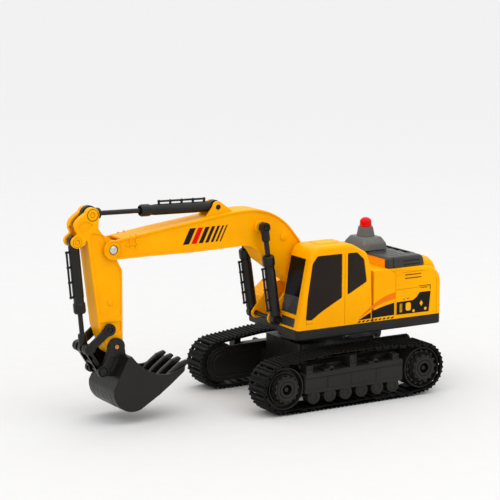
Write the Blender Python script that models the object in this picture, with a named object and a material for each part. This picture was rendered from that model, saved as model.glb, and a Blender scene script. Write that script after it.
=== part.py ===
"""Toy excavator on tracks: a 1:24 class model, built as the separate pieces that are moulded and pinned.

Metres, +Z up. The bucket points to -Y, the cab stands on the +X side, the ground is Z = 0.
Every point of the arm is a (Y, Z) pair in the plane of the arm, measured from the swing axis.
"""
import math

import bmesh
import bpy
from mathutils import Matrix, Vector

for old in list(bpy.data.objects):
    bpy.data.objects.remove(old, do_unlink=True)

MM = 0.001

# ---- Clearances and common walls -----------------------------------------------------------------
GAP = 0.3 * MM              # between pieces that touch
RUN = 0.5 * MM              # between pieces that turn past each other
WALL = 1.8 * MM             # moulded casing wall
BODY_WALL = 3.2 * MM        # wall of the body casing, thick enough for its rounded corners
RIM = 1.6 * MM              # rim wall of the arm's half shells

# ---- Tracks --------------------------------------------------------------------------------------
TRACK_HALF_GAUGE = 49.8 * MM    # centre plane of the tracks to the middle of one belt
BELT_WIDTH = 24.4 * MM
BELT_THICKNESS = 2.2 * MM       # band without its bars
GROUSER_HEIGHT = 1.1 * MM
LINK_PITCH = 7.8 * MM
WHEELBASE = 130.8 * MM
IDLER_Z = 21.2 * MM
SPROCKET_Z = 22.6 * MM
WHEEL_RADIUS = 17.4 * MM        # the belt runs on it
CARRIER_Z = 42.6 * MM           # underside of the belt on its posts
BOTTOM_RUN = 100.0 * MM         # length of belt that is flat on the ground
TOP_RUN = 54.0 * MM
AXLE_RADIUS = 2.0 * MM
HUB_CAP_RADIUS = 11.0 * MM
HUB_CAP_TEETH = 12
HUB_CAP_PROUD = 1.8 * MM        # hub cap beyond the belt's edge
HUB_RECESS = 4.2 * MM           # radius of the recess in the middle of the cap
ROLLER_RADIUS = 5.8 * MM        # road rollers, moulded on the cover
ROLLERS = 6
POSTS = 3                       # posts on the cover that hold the belt up
GEARBOX_WIDTH = 23.7 * MM
GEARBOX_Z = (13.0 * MM, 34.0 * MM)
MOTOR_RADIUS = 6.0 * MM

# ---- Chassis -------------------------------------------------------------------------------------
HULL_HALF_WIDTH = 27.5 * MM
HULL_FRONT = -31.0 * MM
HULL_REAR = 42.0 * MM
HULL_BOTTOM = 15.0 * MM
HULL_TOP = 46.0 * MM
TURNTABLE_RADIUS = 27.0 * MM
SPINDLE_RADIUS = 9.0 * MM

# ---- House ---------------------------------------------------------------------------------------
HOUSE_HALF_WIDTH = 44.7 * MM
HOUSE_REAR = 95.2 * MM
HOUSE_CORNER = 4.0 * MM         # rear corners of deck and casing, in plan
HOUSE_FRONT = -38.0 * MM
CAB_FRONT = -44.0 * MM
CAB_REAR = 28.0 * MM
DECK_BOTTOM = 53.4 * MM
DECK_TOP = 61.4 * MM
BODY_TOP = 103.0 * MM
BODY_CURVE = 16.0 * MM          # rear top edge of the casing
HUMP_TOP = 110.2 * MM           # raised middle behind the hood
HUMP_HALF = 37.0 * MM
HUMP_CURVE = 14.5 * MM
CAB_TOP = 127.4 * MM
TANK_TOP = 90.0 * MM
HOOD_FRONT = 41.0 * MM
HOOD_REAR = 79.5 * MM
HOOD_TOP = 112.2 * MM
BEACON_X = -5.0 * MM
BEACON_Y = 53.0 * MM
TOWER_TOP = 130.6 * MM
LENS_RADIUS = 4.9 * MM
LENS_HEIGHT = 8.4 * MM

# ---- Arm: widths ---------------------------------------------------------------------------------
BOOM_HALF = 11.0 * MM
BOOM_SIDE = 2.5 * MM            # side wall of the boom
EAR_WALL = 1.9 * MM             # ears of the boom bracket
STICK_SIDE = 2.6 * MM           # side wall of the stick
LUG_WALL = 2.2 * MM             # lugs that hold the stick cylinder's foot
PIN_RADIUS = 1.8 * MM
FOOT_ROD_RADIUS = 2.4 * MM      # steel rod that the boom turns on
SCREW_RADIUS = 3.1 * MM         # head of the stick's pivot screw
SCREW_HEAD = 1.2 * MM
POST_RADIUS = 2.4 * MM          # screw posts inside the half shells
ROCKER_WALL = 2.8 * MM
LINK_WALL = 2.8 * MM
BUCKET_HALF = 22.0 * MM
BUCKET_WALL = 2.0 * MM
BUCKET_EAR_WALL = 3.4 * MM

# ---- Arm: pins in the plane of the arm -----------------------------------------------------------
BOOM_FOOT = Vector((-2.0, 84.0)) * MM
CYLINDER_FOOT = Vector((-48.5, 67.2)) * MM
BOOM_CYLINDER_EYE = Vector((-59.0, 142.5)) * MM
STICK_CYLINDER_FOOT = Vector((-94.6, 160.2)) * MM
STICK_PIVOT = Vector((-188.4, 135.2)) * MM
STICK_EYE = Vector((-204.3, 163.0)) * MM
BUCKET_CYLINDER_FOOT = Vector((-217.4, 143.1)) * MM
ROCKER_PIVOT = Vector((-192.4, 73.4)) * MM
BUCKET_PIVOT = Vector((-187.1, 59.7)) * MM
ROCKER_END = Vector((-210.1, 59.8)) * MM
LINK_END = Vector((-199.2, 41.6)) * MM

# ---- Arm: cylinders ------------------------------------------------------------------------------
BOOM_CYLINDER = dict(barrel=4.4 * MM, bore=3.0 * MM, collar=5.0 * MM, rod=2.1 * MM,
                     mouth=53.0 * MM, rod_inside=27.0 * MM, foot=4.4 * MM, eye=4.2 * MM)
STICK_CYLINDER = dict(barrel=4.3 * MM, bore=3.5 * MM, collar=4.8 * MM, rod=1.9 * MM,
                      mouth=65.6 * MM, rod_inside=30.0 * MM, foot=5.0 * MM, eye=6.6 * MM)
BUCKET_CYLINDER = dict(barrel=4.3 * MM, bore=3.3 * MM, collar=4.8 * MM, rod=1.9 * MM,
                       mouth=56.5 * MM, rod_inside=20.0 * MM, foot=4.4 * MM, eye=4.2 * MM)
CYLINDER_EYE_WIDTH = 5.0 * MM

# ---- Sizes that follow ---------------------------------------------------------------------------
STICK_HALF = BOOM_HALF - BOOM_SIDE - RUN
EAR_INNER = BOOM_HALF + RUN
EAR_OUTER = EAR_INNER + EAR_WALL
CAB_INNER = EAR_OUTER + GAP
BOOM_CYLINDER_X = EAR_OUTER + RUN + BOOM_CYLINDER["barrel"]
BOOM_BOSS = EAR_OUTER - BOOM_HALF
STICK_LUG_HALF = STICK_CYLINDER["barrel"] + RUN + LUG_WALL
EYE_SLOT_HALF = CYLINDER_EYE_WIDTH / 2 + RUN
FOOT_SLOT_HALF = BUCKET_CYLINDER["barrel"] + RUN
BUCKET_EAR_INNER = STICK_HALF + RUN
ROCKER_INNER = STICK_HALF + RUN
LINK_OUTER = ROCKER_INNER - RUN
LINK_INNER = LINK_OUTER - LINK_WALL
ROD_EYE_HALF = min(CYLINDER_EYE_WIDTH / 2, LINK_INNER - RUN)
TRACK_INNER = TRACK_HALF_GAUGE - BELT_WIDTH / 2
TRACK_OUTER = TRACK_HALF_GAUGE + BELT_WIDTH / 2
FRONT_AXLE_Y = -WHEELBASE / 2
REAR_AXLE_Y = WHEELBASE / 2

# ---- Materials -----------------------------------------------------------------------------------
MATERIALS = {
    "yellow_abs": ((0.95, 0.45, 0.004), 0.32, 0.0),
    "black_abs": ((0.02, 0.02, 0.018), 0.42, 0.0),
    "dark_grey_abs": ((0.045, 0.042, 0.038), 0.40, 0.0),
    "mid_grey_abs": ((0.15, 0.15, 0.145), 0.36, 0.0),
    "window_abs": ((0.03, 0.022, 0.017), 0.18, 0.0),
    "window_grey_abs": ((0.07, 0.068, 0.063), 0.25, 0.0),
    "red_lens": ((0.75, 0.01, 0.01), 0.10, 0.0),
    "black_rubber": ((0.015, 0.015, 0.014), 0.62, 0.0),
    "steel": ((0.62, 0.62, 0.60), 0.28, 1.0),
    "copper_steel": ((0.72, 0.38, 0.22), 0.32, 1.0),
    "green_board": ((0.03, 0.22, 0.08), 0.50, 0.0),
    "cell_wrap": ((0.12, 0.25, 0.5), 0.35, 0.0),
}


def material(name):
    """The Principled material of that name, made on first use."""
    if name not in bpy.data.materials:
        colour, roughness, metallic = MATERIALS[name]
        made = bpy.data.materials.new(name)
        made.use_nodes = True
        shader = made.node_tree.nodes["Principled BSDF"]
        shader.inputs["Base Color"].default_value = (*colour, 1.0)
        shader.inputs["Roughness"].default_value = roughness
        shader.inputs["Metallic"].default_value = metallic
    return bpy.data.materials[name]


# ---- Bodies: an empty on each joint's axis -------------------------------------------------------
BODIES = {}


def body(name, x, y, z, parent=None):
    """An empty that carries the pieces of one moving body, standing on its joint's axis."""
    empty = bpy.data.objects.new("axis_" + name, None)
    empty.empty_display_size = 0.01
    bpy.context.scene.collection.objects.link(empty)
    empty["place"] = (x, y, z)
    here = Vector((x, y, z))
    if parent:
        empty.parent = BODIES[parent]
        here = here - Vector(BODIES[parent]["place"])
    empty.location = here
    BODIES[name] = empty
    return empty


# ---- Modelling helpers ---------------------------------------------------------------------------
def arc(centre, radius, start, end, steps):
    """Points on an arc, degrees from the first axis of the plane, ends included."""
    turn = [math.radians(start + (end - start) * i / steps) for i in range(steps + 1)]
    return [Vector((centre[0] + radius * math.cos(t), centre[1] + radius * math.sin(t))) for t in turn]


def points_mm(*pairs):
    """Outline points given in millimetres."""
    return [Vector(pair) * MM for pair in pairs]


def rounded(corners, steps=3):
    """An outline from (point, radius) corners, each rounded to its radius."""
    outline = []
    count = len(corners)
    for i, (corner, radius) in enumerate(corners):
        corner = Vector(corner)
        if radius <= 0:
            outline.append(corner)
            continue
        before = (Vector(corners[i - 1][0]) - corner).normalized()
        after = (Vector(corners[(i + 1) % count][0]) - corner).normalized()
        half = before.angle(after) / 2
        reach = radius / math.tan(half)
        centre = corner + (before + after).normalized() * radius / math.sin(half)
        first = corner + before * reach - centre
        last = corner + after * reach - centre
        sweep = first.angle_signed(last)
        for k in range(steps + 1):
            outline.append(centre + Matrix.Rotation(-sweep * k / steps, 2) @ first)
    return outline


def around(circles):
    """The outline of a band stretched round (centre, radius, steps) circles: their convex hull."""
    cloud = []
    for centre, radius, steps in circles:
        cloud += arc(centre, radius, 0, 360 * (steps - 1) / steps, steps - 1)
    cloud.sort(key=lambda p: (round(p.x, 7), round(p.y, 7)))

    def chain(points):
        kept = []
        for p in points:
            while len(kept) > 1 and (kept[-1] - kept[-2]).cross(p - kept[-1]) <= 1e-12:
                kept.pop()
            kept.append(p)
        return kept[:-1]
    return chain(cloud) + chain(cloud[::-1])


def solid(outline, low, high, axis="X"):
    """A prism of the outline from low to high along the axis; returns a loose object."""
    mesh = bmesh.new()
    if axis == "X":
        ring = [mesh.verts.new((low, p[0], p[1])) for p in outline]
        way = Vector((high - low, 0, 0))
    elif axis == "Y":
        ring = [mesh.verts.new((p[0], low, p[1])) for p in outline]
        way = Vector((0, high - low, 0))
    else:
        ring = [mesh.verts.new((p[0], p[1], low)) for p in outline]
        way = Vector((0, 0, high - low))
    face = mesh.faces.new(ring)
    grown = bmesh.ops.extrude_face_region(mesh, geom=[face])
    moved = [v for v in grown["geom"] if isinstance(v, bmesh.types.BMVert)]
    bmesh.ops.translate(mesh, verts=moved, vec=way)
    return loose(mesh)


def turned(profile, centre, axis="X", steps=24):
    """A solid turned from (along, radius) points about an axis through centre."""
    mesh = bmesh.new()
    chain = [mesh.verts.new((radius, 0, along)) for along, radius in profile]
    edges = [mesh.edges.new(pair) for pair in zip(chain, chain[1:])]
    if (chain[0].co - chain[-1].co).length > 1e-9 and profile[0][1] > 0:
        edges.append(mesh.edges.new((chain[-1], chain[0])))
    bmesh.ops.spin(mesh, geom=chain + edges, axis=(0, 0, 1), cent=(0, 0, 0),
                   angle=math.tau, steps=steps, use_merge=True)
    bmesh.ops.remove_doubles(mesh, verts=mesh.verts, dist=1e-7)
    tips = [v for v in mesh.verts if v.co.xy.length < 1e-7 and len(v.link_faces) > 3]
    bmesh.ops.dissolve_verts(mesh, verts=tips)
    turn = {"X": Matrix.Rotation(math.pi / 2, 4, "Y"), "Y": Matrix.Rotation(-math.pi / 2, 4, "X"),
            "Z": Matrix.Identity(4)}[axis]
    bmesh.ops.transform(mesh, verts=mesh.verts, matrix=Matrix.Translation(centre) @ turn)
    return loose(mesh)


def loose(mesh):
    """A mesh as an object without a name of its own yet."""
    bmesh.ops.recalc_face_normals(mesh, faces=mesh.faces)
    data = bpy.data.meshes.new("shape")
    mesh.to_mesh(data)
    mesh.free()
    made = bpy.data.objects.new("shape", data)
    bpy.context.scene.collection.objects.link(made)
    return made


def box(low, high):
    """A box between two corners."""
    outline = [(low[1], low[2]), (high[1], low[2]), (high[1], high[2]), (low[1], high[2])]
    return solid(outline, low[0], high[0])


def rod(x0, x1, point, radius, steps=12):
    """A round bar along X through a (Y, Z) point."""
    return solid(arc(point, radius, 0, 360 - 360 / steps, steps - 1), x0, x1)


def boolean(shape, tool, operation):
    """The shape after one exact Boolean with the tool, which is used up."""
    modifier = shape.modifiers.new(operation, "BOOLEAN")
    modifier.operation = operation
    modifier.solver = "EXACT"
    modifier.object = tool
    graph = bpy.context.evaluated_depsgraph_get()
    result = bpy.data.meshes.new_from_object(shape.evaluated_get(graph))
    shape.modifiers.clear()
    shape.data = result
    bpy.data.objects.remove(tool, do_unlink=True)
    return shape


def fuse(shape, *tools):
    """The shape with each tool joined to it."""
    for tool in tools:
        boolean(shape, tool, "UNION")
    return shape


def cut(shape, *tools):
    """The shape with each tool taken out of it."""
    for tool in tools:
        boolean(shape, tool, "DIFFERENCE")
    return shape


def mirrored(shape):
    """A copy of a shape on the other side of the plane X = 0."""
    mesh = bmesh.new()
    mesh.from_mesh(shape.data)
    bmesh.ops.scale(mesh, vec=(-1, 1, 1), verts=mesh.verts)
    bmesh.ops.reverse_faces(mesh, faces=mesh.faces)
    return loose(mesh)


def piece(name, shape, colour, carrier, smooth=35):
    """Names a shape, gives it its material and hangs it on its body's empty."""
    mesh = bmesh.new()
    mesh.from_mesh(shape.data)
    bmesh.ops.translate(mesh, verts=mesh.verts, vec=-Vector(BODIES[carrier]["place"]))
    mesh.to_mesh(shape.data)
    mesh.free()
    shape.name = name
    shape.data.name = name
    shape.parent = BODIES[carrier]
    shape.data.materials.clear()
    shape.data.materials.append(material(colour))
    shape.data.shade_smooth()
    shape.data.set_sharp_from_angle(angle=math.radians(smooth))
    return shape


# ---- The bodies ----------------------------------------------------------------------------------
body("undercarriage", 0, 0, 0)
for side, sign in (("left", 1), ("right", -1)):
    body("idler_" + side, sign * TRACK_HALF_GAUGE, FRONT_AXLE_Y, IDLER_Z, "undercarriage")
    body("sprocket_" + side, sign * TRACK_HALF_GAUGE, REAR_AXLE_Y, SPROCKET_Z, "undercarriage")
body("switch", 0, 0, HULL_BOTTOM, "undercarriage")
body("house", 0, 0, DECK_BOTTOM, "undercarriage")
body("boom", 0, *BOOM_FOOT, "house")
body("boom_barrels", 0, *CYLINDER_FOOT, "house")
body("boom_rods", 0, *BOOM_CYLINDER_EYE, "boom")
body("stick_barrel", 0, *STICK_CYLINDER_FOOT, "boom")
body("stick", 0, *STICK_PIVOT, "boom")
body("stick_rod", 0, *STICK_EYE, "stick")
body("bucket_barrel", 0, *BUCKET_CYLINDER_FOOT, "stick")
body("rocker", 0, *ROCKER_PIVOT, "stick")
body("bucket_rod", 0, *ROCKER_END, "rocker")
body("bucket", 0, *BUCKET_PIVOT, "stick")
body("link", 0, *LINK_END, "bucket")


# ---- Tracks --------------------------------------------------------------------------------------
def track_loop(offset):
    """The belt's loop, offset outwards from the wheels' tread."""
    ground = BELT_THICKNESS + GROUSER_HEIGHT
    low = BOTTOM_RUN / 2
    high = TOP_RUN / 2
    return around([((FRONT_AXLE_Y, IDLER_Z), WHEEL_RADIUS + offset, 36),
                   ((REAR_AXLE_Y, SPROCKET_Z), WHEEL_RADIUS + offset, 36),
                   ((-high, CARRIER_Z - ground), ground + offset, 36),
                   ((high, CARRIER_Z - ground), ground + offset, 36),
                   ((-low, 2 * ground), ground + offset, 36),
                   ((low, 2 * ground), ground + offset, 36)])


def resample(loop, count):
    """Equally spaced points and outward normals along a closed loop."""
    lengths = [(loop[(i + 1) % len(loop)] - loop[i]).length for i in range(len(loop))]
    total = sum(lengths)
    found = []
    for k in range(count):
        want = total * k / count
        i = 0
        while want > lengths[i]:
            want -= lengths[i]
            i += 1
        along = (loop[(i + 1) % len(loop)] - loop[i]).normalized()
        found.append((loop[i] + along * want, Vector((along.y, -along.x))))
    return found


def belt(x0, x1):
    """A moulded rubber band with one cross bar on each link."""
    tread = track_loop(0.0)
    length = sum((tread[i] - tread[i - 1]).length for i in range(len(tread)))
    links = round(length / LINK_PITCH)
    marks = resample(track_loop(BELT_THICKNESS), links * 4)
    outer = []
    for k, (point, normal) in enumerate(marks):
        outer.append(point + normal * (GROUSER_HEIGHT if k % 4 in (1, 2) else 0.0))
    band = solid(outer, x0, x1)
    return cut(band, solid(tread, x0 - GAP, x1 + GAP))


def toothed_disc(radius, depth, teeth, x0, x1, point):
    """A disc with square teeth round its edge."""
    outline = []
    step = 360 / teeth
    for k in range(teeth):
        outline += arc(point, radius, k * step, k * step + step * 0.42, 1)
        outline += arc(point, radius - depth, k * step + step * 0.54, k * step + step * 0.88, 1)
    return solid(outline, x0, x1)


def wheel(sign, point):
    """A track wheel: rim, sunk rings and a toothed hub cap that stands proud of the belt."""
    inner = sign * (TRACK_INNER + 3.4 * MM)
    rim = sign * (TRACK_OUTER - 2.0 * MM)
    cap = sign * (TRACK_OUTER + HUB_CAP_PROUD)
    tread = WHEEL_RADIUS - RUN
    sunk = rim - sign * 2.4 * MM
    profile = [(inner, 0), (inner, tread), (rim, tread), (rim, tread - 1.6 * MM), (sunk, tread - 2.2 * MM),
               (sunk, HUB_CAP_RADIUS - 0.6 * MM), (rim, HUB_CAP_RADIUS - 1.6 * MM), (rim, 0)]
    made = turned(profile, (0, point[0], point[1]), "X", 24)
    fuse(made, toothed_disc(HUB_CAP_RADIUS, 1.1 * MM, HUB_CAP_TEETH,
                            *sorted((rim - sign * 1.5 * MM, cap)), point))
    return cut(made, rod(*sorted((rim - sign * 4 * MM, cap + sign * MM)), point, HUB_RECESS, 18),
               rod(*sorted((inner - sign * MM, cap)), point, AXLE_RADIUS + RUN))


FRAME_OUTER = TRACK_OUTER - 11.0 * MM
FRAME_Z = (14.0 * MM, 35.0 * MM)
COVER_FRONT = FRONT_AXLE_Y + WHEEL_RADIUS + 0.8 * MM
COVER_REAR = REAR_AXLE_Y - WHEEL_RADIUS - 1.6 * MM
POST_PITCH = 41.0 * MM
FRAME_REACH = WHEELBASE / 2 - WHEEL_RADIUS - 3.0 * MM
PLATE_RADIUS = WHEEL_RADIUS - 2.9 * MM
PLATE_THICKNESS = 2.6 * MM

for side, sign in (("left", 1), ("right", -1)):
    x_in, x_out = sorted((sign * TRACK_INNER, sign * TRACK_OUTER))
    piece("track_belt_" + side, belt(x_in, x_out), "black_rubber", "undercarriage")

    # The frame's long beam lies inside the loop and holds the idler on a moulded stub axle.
    beam = solid(rounded([((-FRAME_REACH, FRAME_Z[0]), 6 * MM), ((FRAME_REACH, FRAME_Z[0]), 6 * MM),
                          ((FRAME_REACH, FRAME_Z[1]), 6 * MM), ((-FRAME_REACH, FRAME_Z[1]), 6 * MM)], 4),
                 *sorted((sign * TRACK_INNER, sign * FRAME_OUTER)))
    # A thin plate on the inside carries the axle at each end.
    plate = solid(around([((FRONT_AXLE_Y, IDLER_Z), PLATE_RADIUS, 24),
                          ((REAR_AXLE_Y, SPROCKET_Z), PLATE_RADIUS, 24)]),
                  *sorted((sign * TRACK_INNER, sign * (TRACK_INNER + PLATE_THICKNESS))))
    fuse(beam, plate)
    stub = rod(*sorted((sign * (TRACK_INNER + 1.0 * MM), sign * (TRACK_OUTER - 5.0 * MM))),
               (FRONT_AXLE_Y, IDLER_Z), AXLE_RADIUS)
    fuse(beam, stub)
    cut(beam, rod(*sorted((sign * (TRACK_INNER - MM), sign * (TRACK_INNER + 4 * MM))),
                  (REAR_AXLE_Y, SPROCKET_Z), AXLE_RADIUS + RUN))
    piece("track_frame_" + side, beam, "black_abs", "undercarriage")

    # The outer cover: a panel with three posts above and the moulded road rollers below.
    cover_x = sorted((sign * (FRAME_OUTER + GAP), sign * (TRACK_OUTER - 1.0 * MM)))
    floor_z = BELT_THICKNESS + GROUSER_HEIGHT + 1.6 * MM
    panel = solid(rounded([((COVER_FRONT, 14.4 * MM), 2 * MM), ((COVER_REAR, 14.4 * MM), 2 * MM),
                           ((COVER_REAR, 32.6 * MM), 2 * MM), ((COVER_FRONT, 30.6 * MM), 2 * MM)], 2), *cover_x)
    for k in range(POSTS):
        y = COVER_FRONT + 4.5 * MM + k * POST_PITCH
        top = CARRIER_Z - 1.0 * MM if abs(y) < TOP_RUN / 2 else CARRIER_Z - 5.5 * MM
        fuse(panel, box((cover_x[0], y - 3 * MM, 28 * MM), (cover_x[1], y + 3 * MM, top)))
    for k in range(ROLLERS):
        y = COVER_FRONT + 9.0 * MM + k * (COVER_REAR - COVER_FRONT - 18.0 * MM) / (ROLLERS - 1)
        fuse(panel, rod(*cover_x, (y, floor_z + 6.2 * MM), ROLLER_RADIUS, 14))
    piece("track_cover_" + side, panel, "dark_grey_abs", "undercarriage")

    piece("idler_" + side, wheel(sign, (FRONT_AXLE_Y, IDLER_Z)), "dark_grey_abs", "idler_" + side)
    piece("sprocket_" + side, wheel(sign, (REAR_AXLE_Y, SPROCKET_Z)), "dark_grey_abs", "sprocket_" + side)
    box_outer = TRACK_INNER - GAP
    box_inner = box_outer - GEARBOX_WIDTH
    axle = rod(*sorted((sign * (box_outer - 8 * MM), sign * (TRACK_OUTER - 5.0 * MM))),
               (REAR_AXLE_Y, SPROCKET_Z), AXLE_RADIUS)
    piece("sprocket_axle_" + side, axle, "steel", "sprocket_" + side)

    # The drive gearbox is screwed to the chassis behind the hull, with the axle in its side.
    x_low, x_high = sorted((sign * box_inner, sign * box_outer))
    gearbox = box((x_low, HULL_REAR + GAP, GEARBOX_Z[0]), (x_high, REAR_AXLE_Y + 9 * MM, GEARBOX_Z[1]))
    motor = turned([(HULL_REAR + 2 * MM, 0), (HULL_REAR + 2 * MM, MOTOR_RADIUS),
                    (REAR_AXLE_Y + 12 * MM, MOTOR_RADIUS), (REAR_AXLE_Y + 12 * MM, 0)],
                   (sign * (box_inner + 8 * MM), 0, GEARBOX_Z[1] + 2 * MM), "Y", 16)
    fuse(gearbox, motor)
    cut(gearbox, rod(*sorted((sign * (box_outer - 10 * MM), sign * (box_outer + MM))),
                     (REAR_AXLE_Y, SPROCKET_Z), AXLE_RADIUS + RUN))
    piece("drive_gearbox_" + side, gearbox, "black_abs", "undercarriage")

# ---- Chassis -------------------------------------------------------------------------------------
BATTERY_HALF = (21.0 * MM, 23.0 * MM)
BATTERY_HEIGHT = 15.0 * MM
COVER_THICKNESS = 1.6 * MM
SWITCH_Y = HULL_FRONT + 5.0 * MM

hull = solid(rounded([((-HULL_HALF_WIDTH, HULL_FRONT), 3 * MM), ((HULL_HALF_WIDTH, HULL_FRONT), 3 * MM),
                      ((HULL_HALF_WIDTH, HULL_REAR), 3 * MM), ((-HULL_HALF_WIDTH, HULL_REAR), 3 * MM)], 3),
             HULL_BOTTOM, HULL_TOP, "Z")
for y in (HULL_FRONT + 9 * MM, HULL_REAR - 12 * MM):
    fuse(hull, box((-TRACK_INNER + GAP, y - 7 * MM, 19 * MM), (TRACK_INNER - GAP, y + 7 * MM, 31 * MM)))
fuse(hull, turned([(HULL_TOP - 2 * MM, 0), (HULL_TOP - 2 * MM, TURNTABLE_RADIUS + 2 * MM),
                   (HULL_TOP + 3 * MM, TURNTABLE_RADIUS), (HULL_TOP + 3 * MM, 0)], (0, 0, 0), "Z", 32))
battery_y = (HULL_FRONT + HULL_REAR) / 2 + 3 * MM
bay_low = (-BATTERY_HALF[0] - RUN, battery_y - BATTERY_HALF[1] - RUN, HULL_BOTTOM - MM)
bay_high = (BATTERY_HALF[0] + RUN, battery_y + BATTERY_HALF[1] + RUN, HULL_BOTTOM + COVER_THICKNESS
            + 2 * GAP + BATTERY_HEIGHT + 0.4 * MM)
cut(hull, box(bay_low, bay_high),
    turned([(HULL_TOP - 11 * MM, 0), (HULL_TOP - 11 * MM, SPINDLE_RADIUS + RUN),
            (HULL_TOP + 4 * MM, SPINDLE_RADIUS + RUN), (HULL_TOP + 4 * MM, 0)], (0, 0, 0), "Z", 24))
switch_half = (4.0 * MM, 1.6 * MM)
cut(hull, box((-switch_half[0] - 3.5 * MM, SWITCH_Y - switch_half[1] - RUN, HULL_BOTTOM - MM),
              (switch_half[0] + 3.5 * MM, SWITCH_Y + switch_half[1] + RUN, HULL_BOTTOM + 3.0 * MM)))
piece("chassis_hull", hull, "black_abs", "undercarriage")
piece("battery_cover", box((bay_low[0] + RUN, bay_low[1] + RUN, HULL_BOTTOM),
                           (bay_high[0] - RUN, bay_high[1] - RUN, HULL_BOTTOM + COVER_THICKNESS)),
      "black_abs", "undercarriage")
pack_z = HULL_BOTTOM + COVER_THICKNESS + GAP
cell = BATTERY_HEIGHT / 2
cells = solid(rounded([((-BATTERY_HALF[0], pack_z), 0.98 * cell), ((BATTERY_HALF[0], pack_z), 0.98 * cell),
                       ((BATTERY_HALF[0], pack_z + BATTERY_HEIGHT), 0.98 * cell),
                       ((-BATTERY_HALF[0], pack_z + BATTERY_HEIGHT), 0.98 * cell)], 4),
              battery_y - BATTERY_HALF[1], battery_y + BATTERY_HALF[1], "Y")
piece("battery_pack", cells, "cell_wrap", "undercarriage")
knob = box((-switch_half[0] / 2, SWITCH_Y - switch_half[1], HULL_BOTTOM - 1.2 * MM),
           (switch_half[0] / 2, SWITCH_Y + switch_half[1], HULL_BOTTOM + 2.6 * MM))
piece("power_switch", knob, "mid_grey_abs", "switch")
ring = turned([(HULL_TOP + 3 * MM + GAP, TURNTABLE_RADIUS - 6 * MM), (HULL_TOP + 3 * MM + GAP, TURNTABLE_RADIUS),
               (DECK_BOTTOM - RUN, TURNTABLE_RADIUS), (DECK_BOTTOM - RUN, TURNTABLE_RADIUS - 6 * MM)],
              (0, 0, 0), "Z", 32)
piece("turntable_ring", ring, "mid_grey_abs", "undercarriage")

# ---- House ---------------------------------------------------------------------------------------
corner = 5.0 * MM
deck_outline = rounded([((-HOUSE_HALF_WIDTH, HOUSE_FRONT), corner), ((CAB_INNER, HOUSE_FRONT), 0),
                        ((CAB_INNER, CAB_FRONT), 0), ((HOUSE_HALF_WIDTH, CAB_FRONT), corner),
                        ((HOUSE_HALF_WIDTH, HOUSE_REAR), HOUSE_CORNER),
                        ((-HOUSE_HALF_WIDTH, HOUSE_REAR), HOUSE_CORNER)], 4)
deck = solid(deck_outline, DECK_BOTTOM, DECK_TOP, "Z")
cut(deck, solid(rounded([((-HOUSE_HALF_WIDTH + WALL, HOUSE_FRONT + WALL), corner - WALL),
                         ((HOUSE_HALF_WIDTH - WALL, HOUSE_FRONT + WALL), corner - WALL),
                         ((HOUSE_HALF_WIDTH - WALL, HOUSE_REAR - WALL), HOUSE_CORNER - WALL),
                         ((-HOUSE_HALF_WIDTH + WALL, HOUSE_REAR - WALL), HOUSE_CORNER - WALL)], 4),
                DECK_BOTTOM + 2.4 * MM, DECK_TOP + MM, "Z"),
    turned([(DECK_BOTTOM - MM, 0), (DECK_BOTTOM - MM, SPINDLE_RADIUS + GAP),
            (DECK_BOTTOM + 4 * MM, SPINDLE_RADIUS + GAP), (DECK_BOTTOM + 4 * MM, 0)], (0, 0, 0), "Z", 24))
piece("house_deck", deck, "dark_grey_abs", "house")
flange_z = DECK_BOTTOM + 2.4 * MM + GAP
spindle = turned([(HULL_TOP - 10 * MM, SPINDLE_RADIUS - 2.4 * MM), (HULL_TOP - 10 * MM, SPINDLE_RADIUS),
                  (flange_z, SPINDLE_RADIUS), (flange_z, SPINDLE_RADIUS + 4 * MM),
                  (flange_z + 2 * MM, SPINDLE_RADIUS + 4 * MM), (flange_z + 2 * MM, SPINDLE_RADIUS - 2.4 * MM)],
                 (0, 0, 0), "Z", 24)
piece("swing_spindle", spindle, "mid_grey_abs", "house")

base = DECK_TOP + GAP
body_profile = rounded([((CAB_REAR + GAP, base), 0), ((HOUSE_REAR, base), 0),
                        ((HOUSE_REAR, BODY_TOP), BODY_CURVE), ((HOOD_REAR - 4 * MM, BODY_TOP), 0),
                        ((CAB_REAR + GAP, BODY_TOP), 0)], 6)
hump_front = HOOD_REAR + GAP
hump_rear = HOUSE_REAR - 0.3 * MM
hump_profile = rounded([((hump_front, BODY_TOP - 13 * MM), 0), ((hump_rear, BODY_TOP - 13 * MM), 0),
                        ((hump_rear, HUMP_TOP), HUMP_CURVE), ((hump_front, HUMP_TOP), 0)], 6)
shell = solid(body_profile, -HOUSE_HALF_WIDTH, HOUSE_HALF_WIDTH)
fuse(shell, solid(hump_profile, -HUMP_HALF, HUMP_HALF),
     box((-HOUSE_HALF_WIDTH + 4 * MM, HOOD_FRONT + 0.8 * MM, BODY_TOP - 2 * MM),
         (HOUSE_HALF_WIDTH - 8 * MM, HOOD_REAR - 6 * MM, HOOD_TOP - WALL - GAP)))
cut(shell, solid(rounded([((CAB_REAR + GAP + WALL, base - MM), 0), ((HOUSE_REAR - BODY_WALL, base - MM), 0),
                          ((HOUSE_REAR - BODY_WALL, BODY_TOP - BODY_WALL), BODY_CURVE - BODY_WALL),
                          ((CAB_REAR + GAP + WALL, BODY_TOP - BODY_WALL), 0)], 4),
                 -HOUSE_HALF_WIDTH + BODY_WALL, HOUSE_HALF_WIDTH - BODY_WALL))
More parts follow.
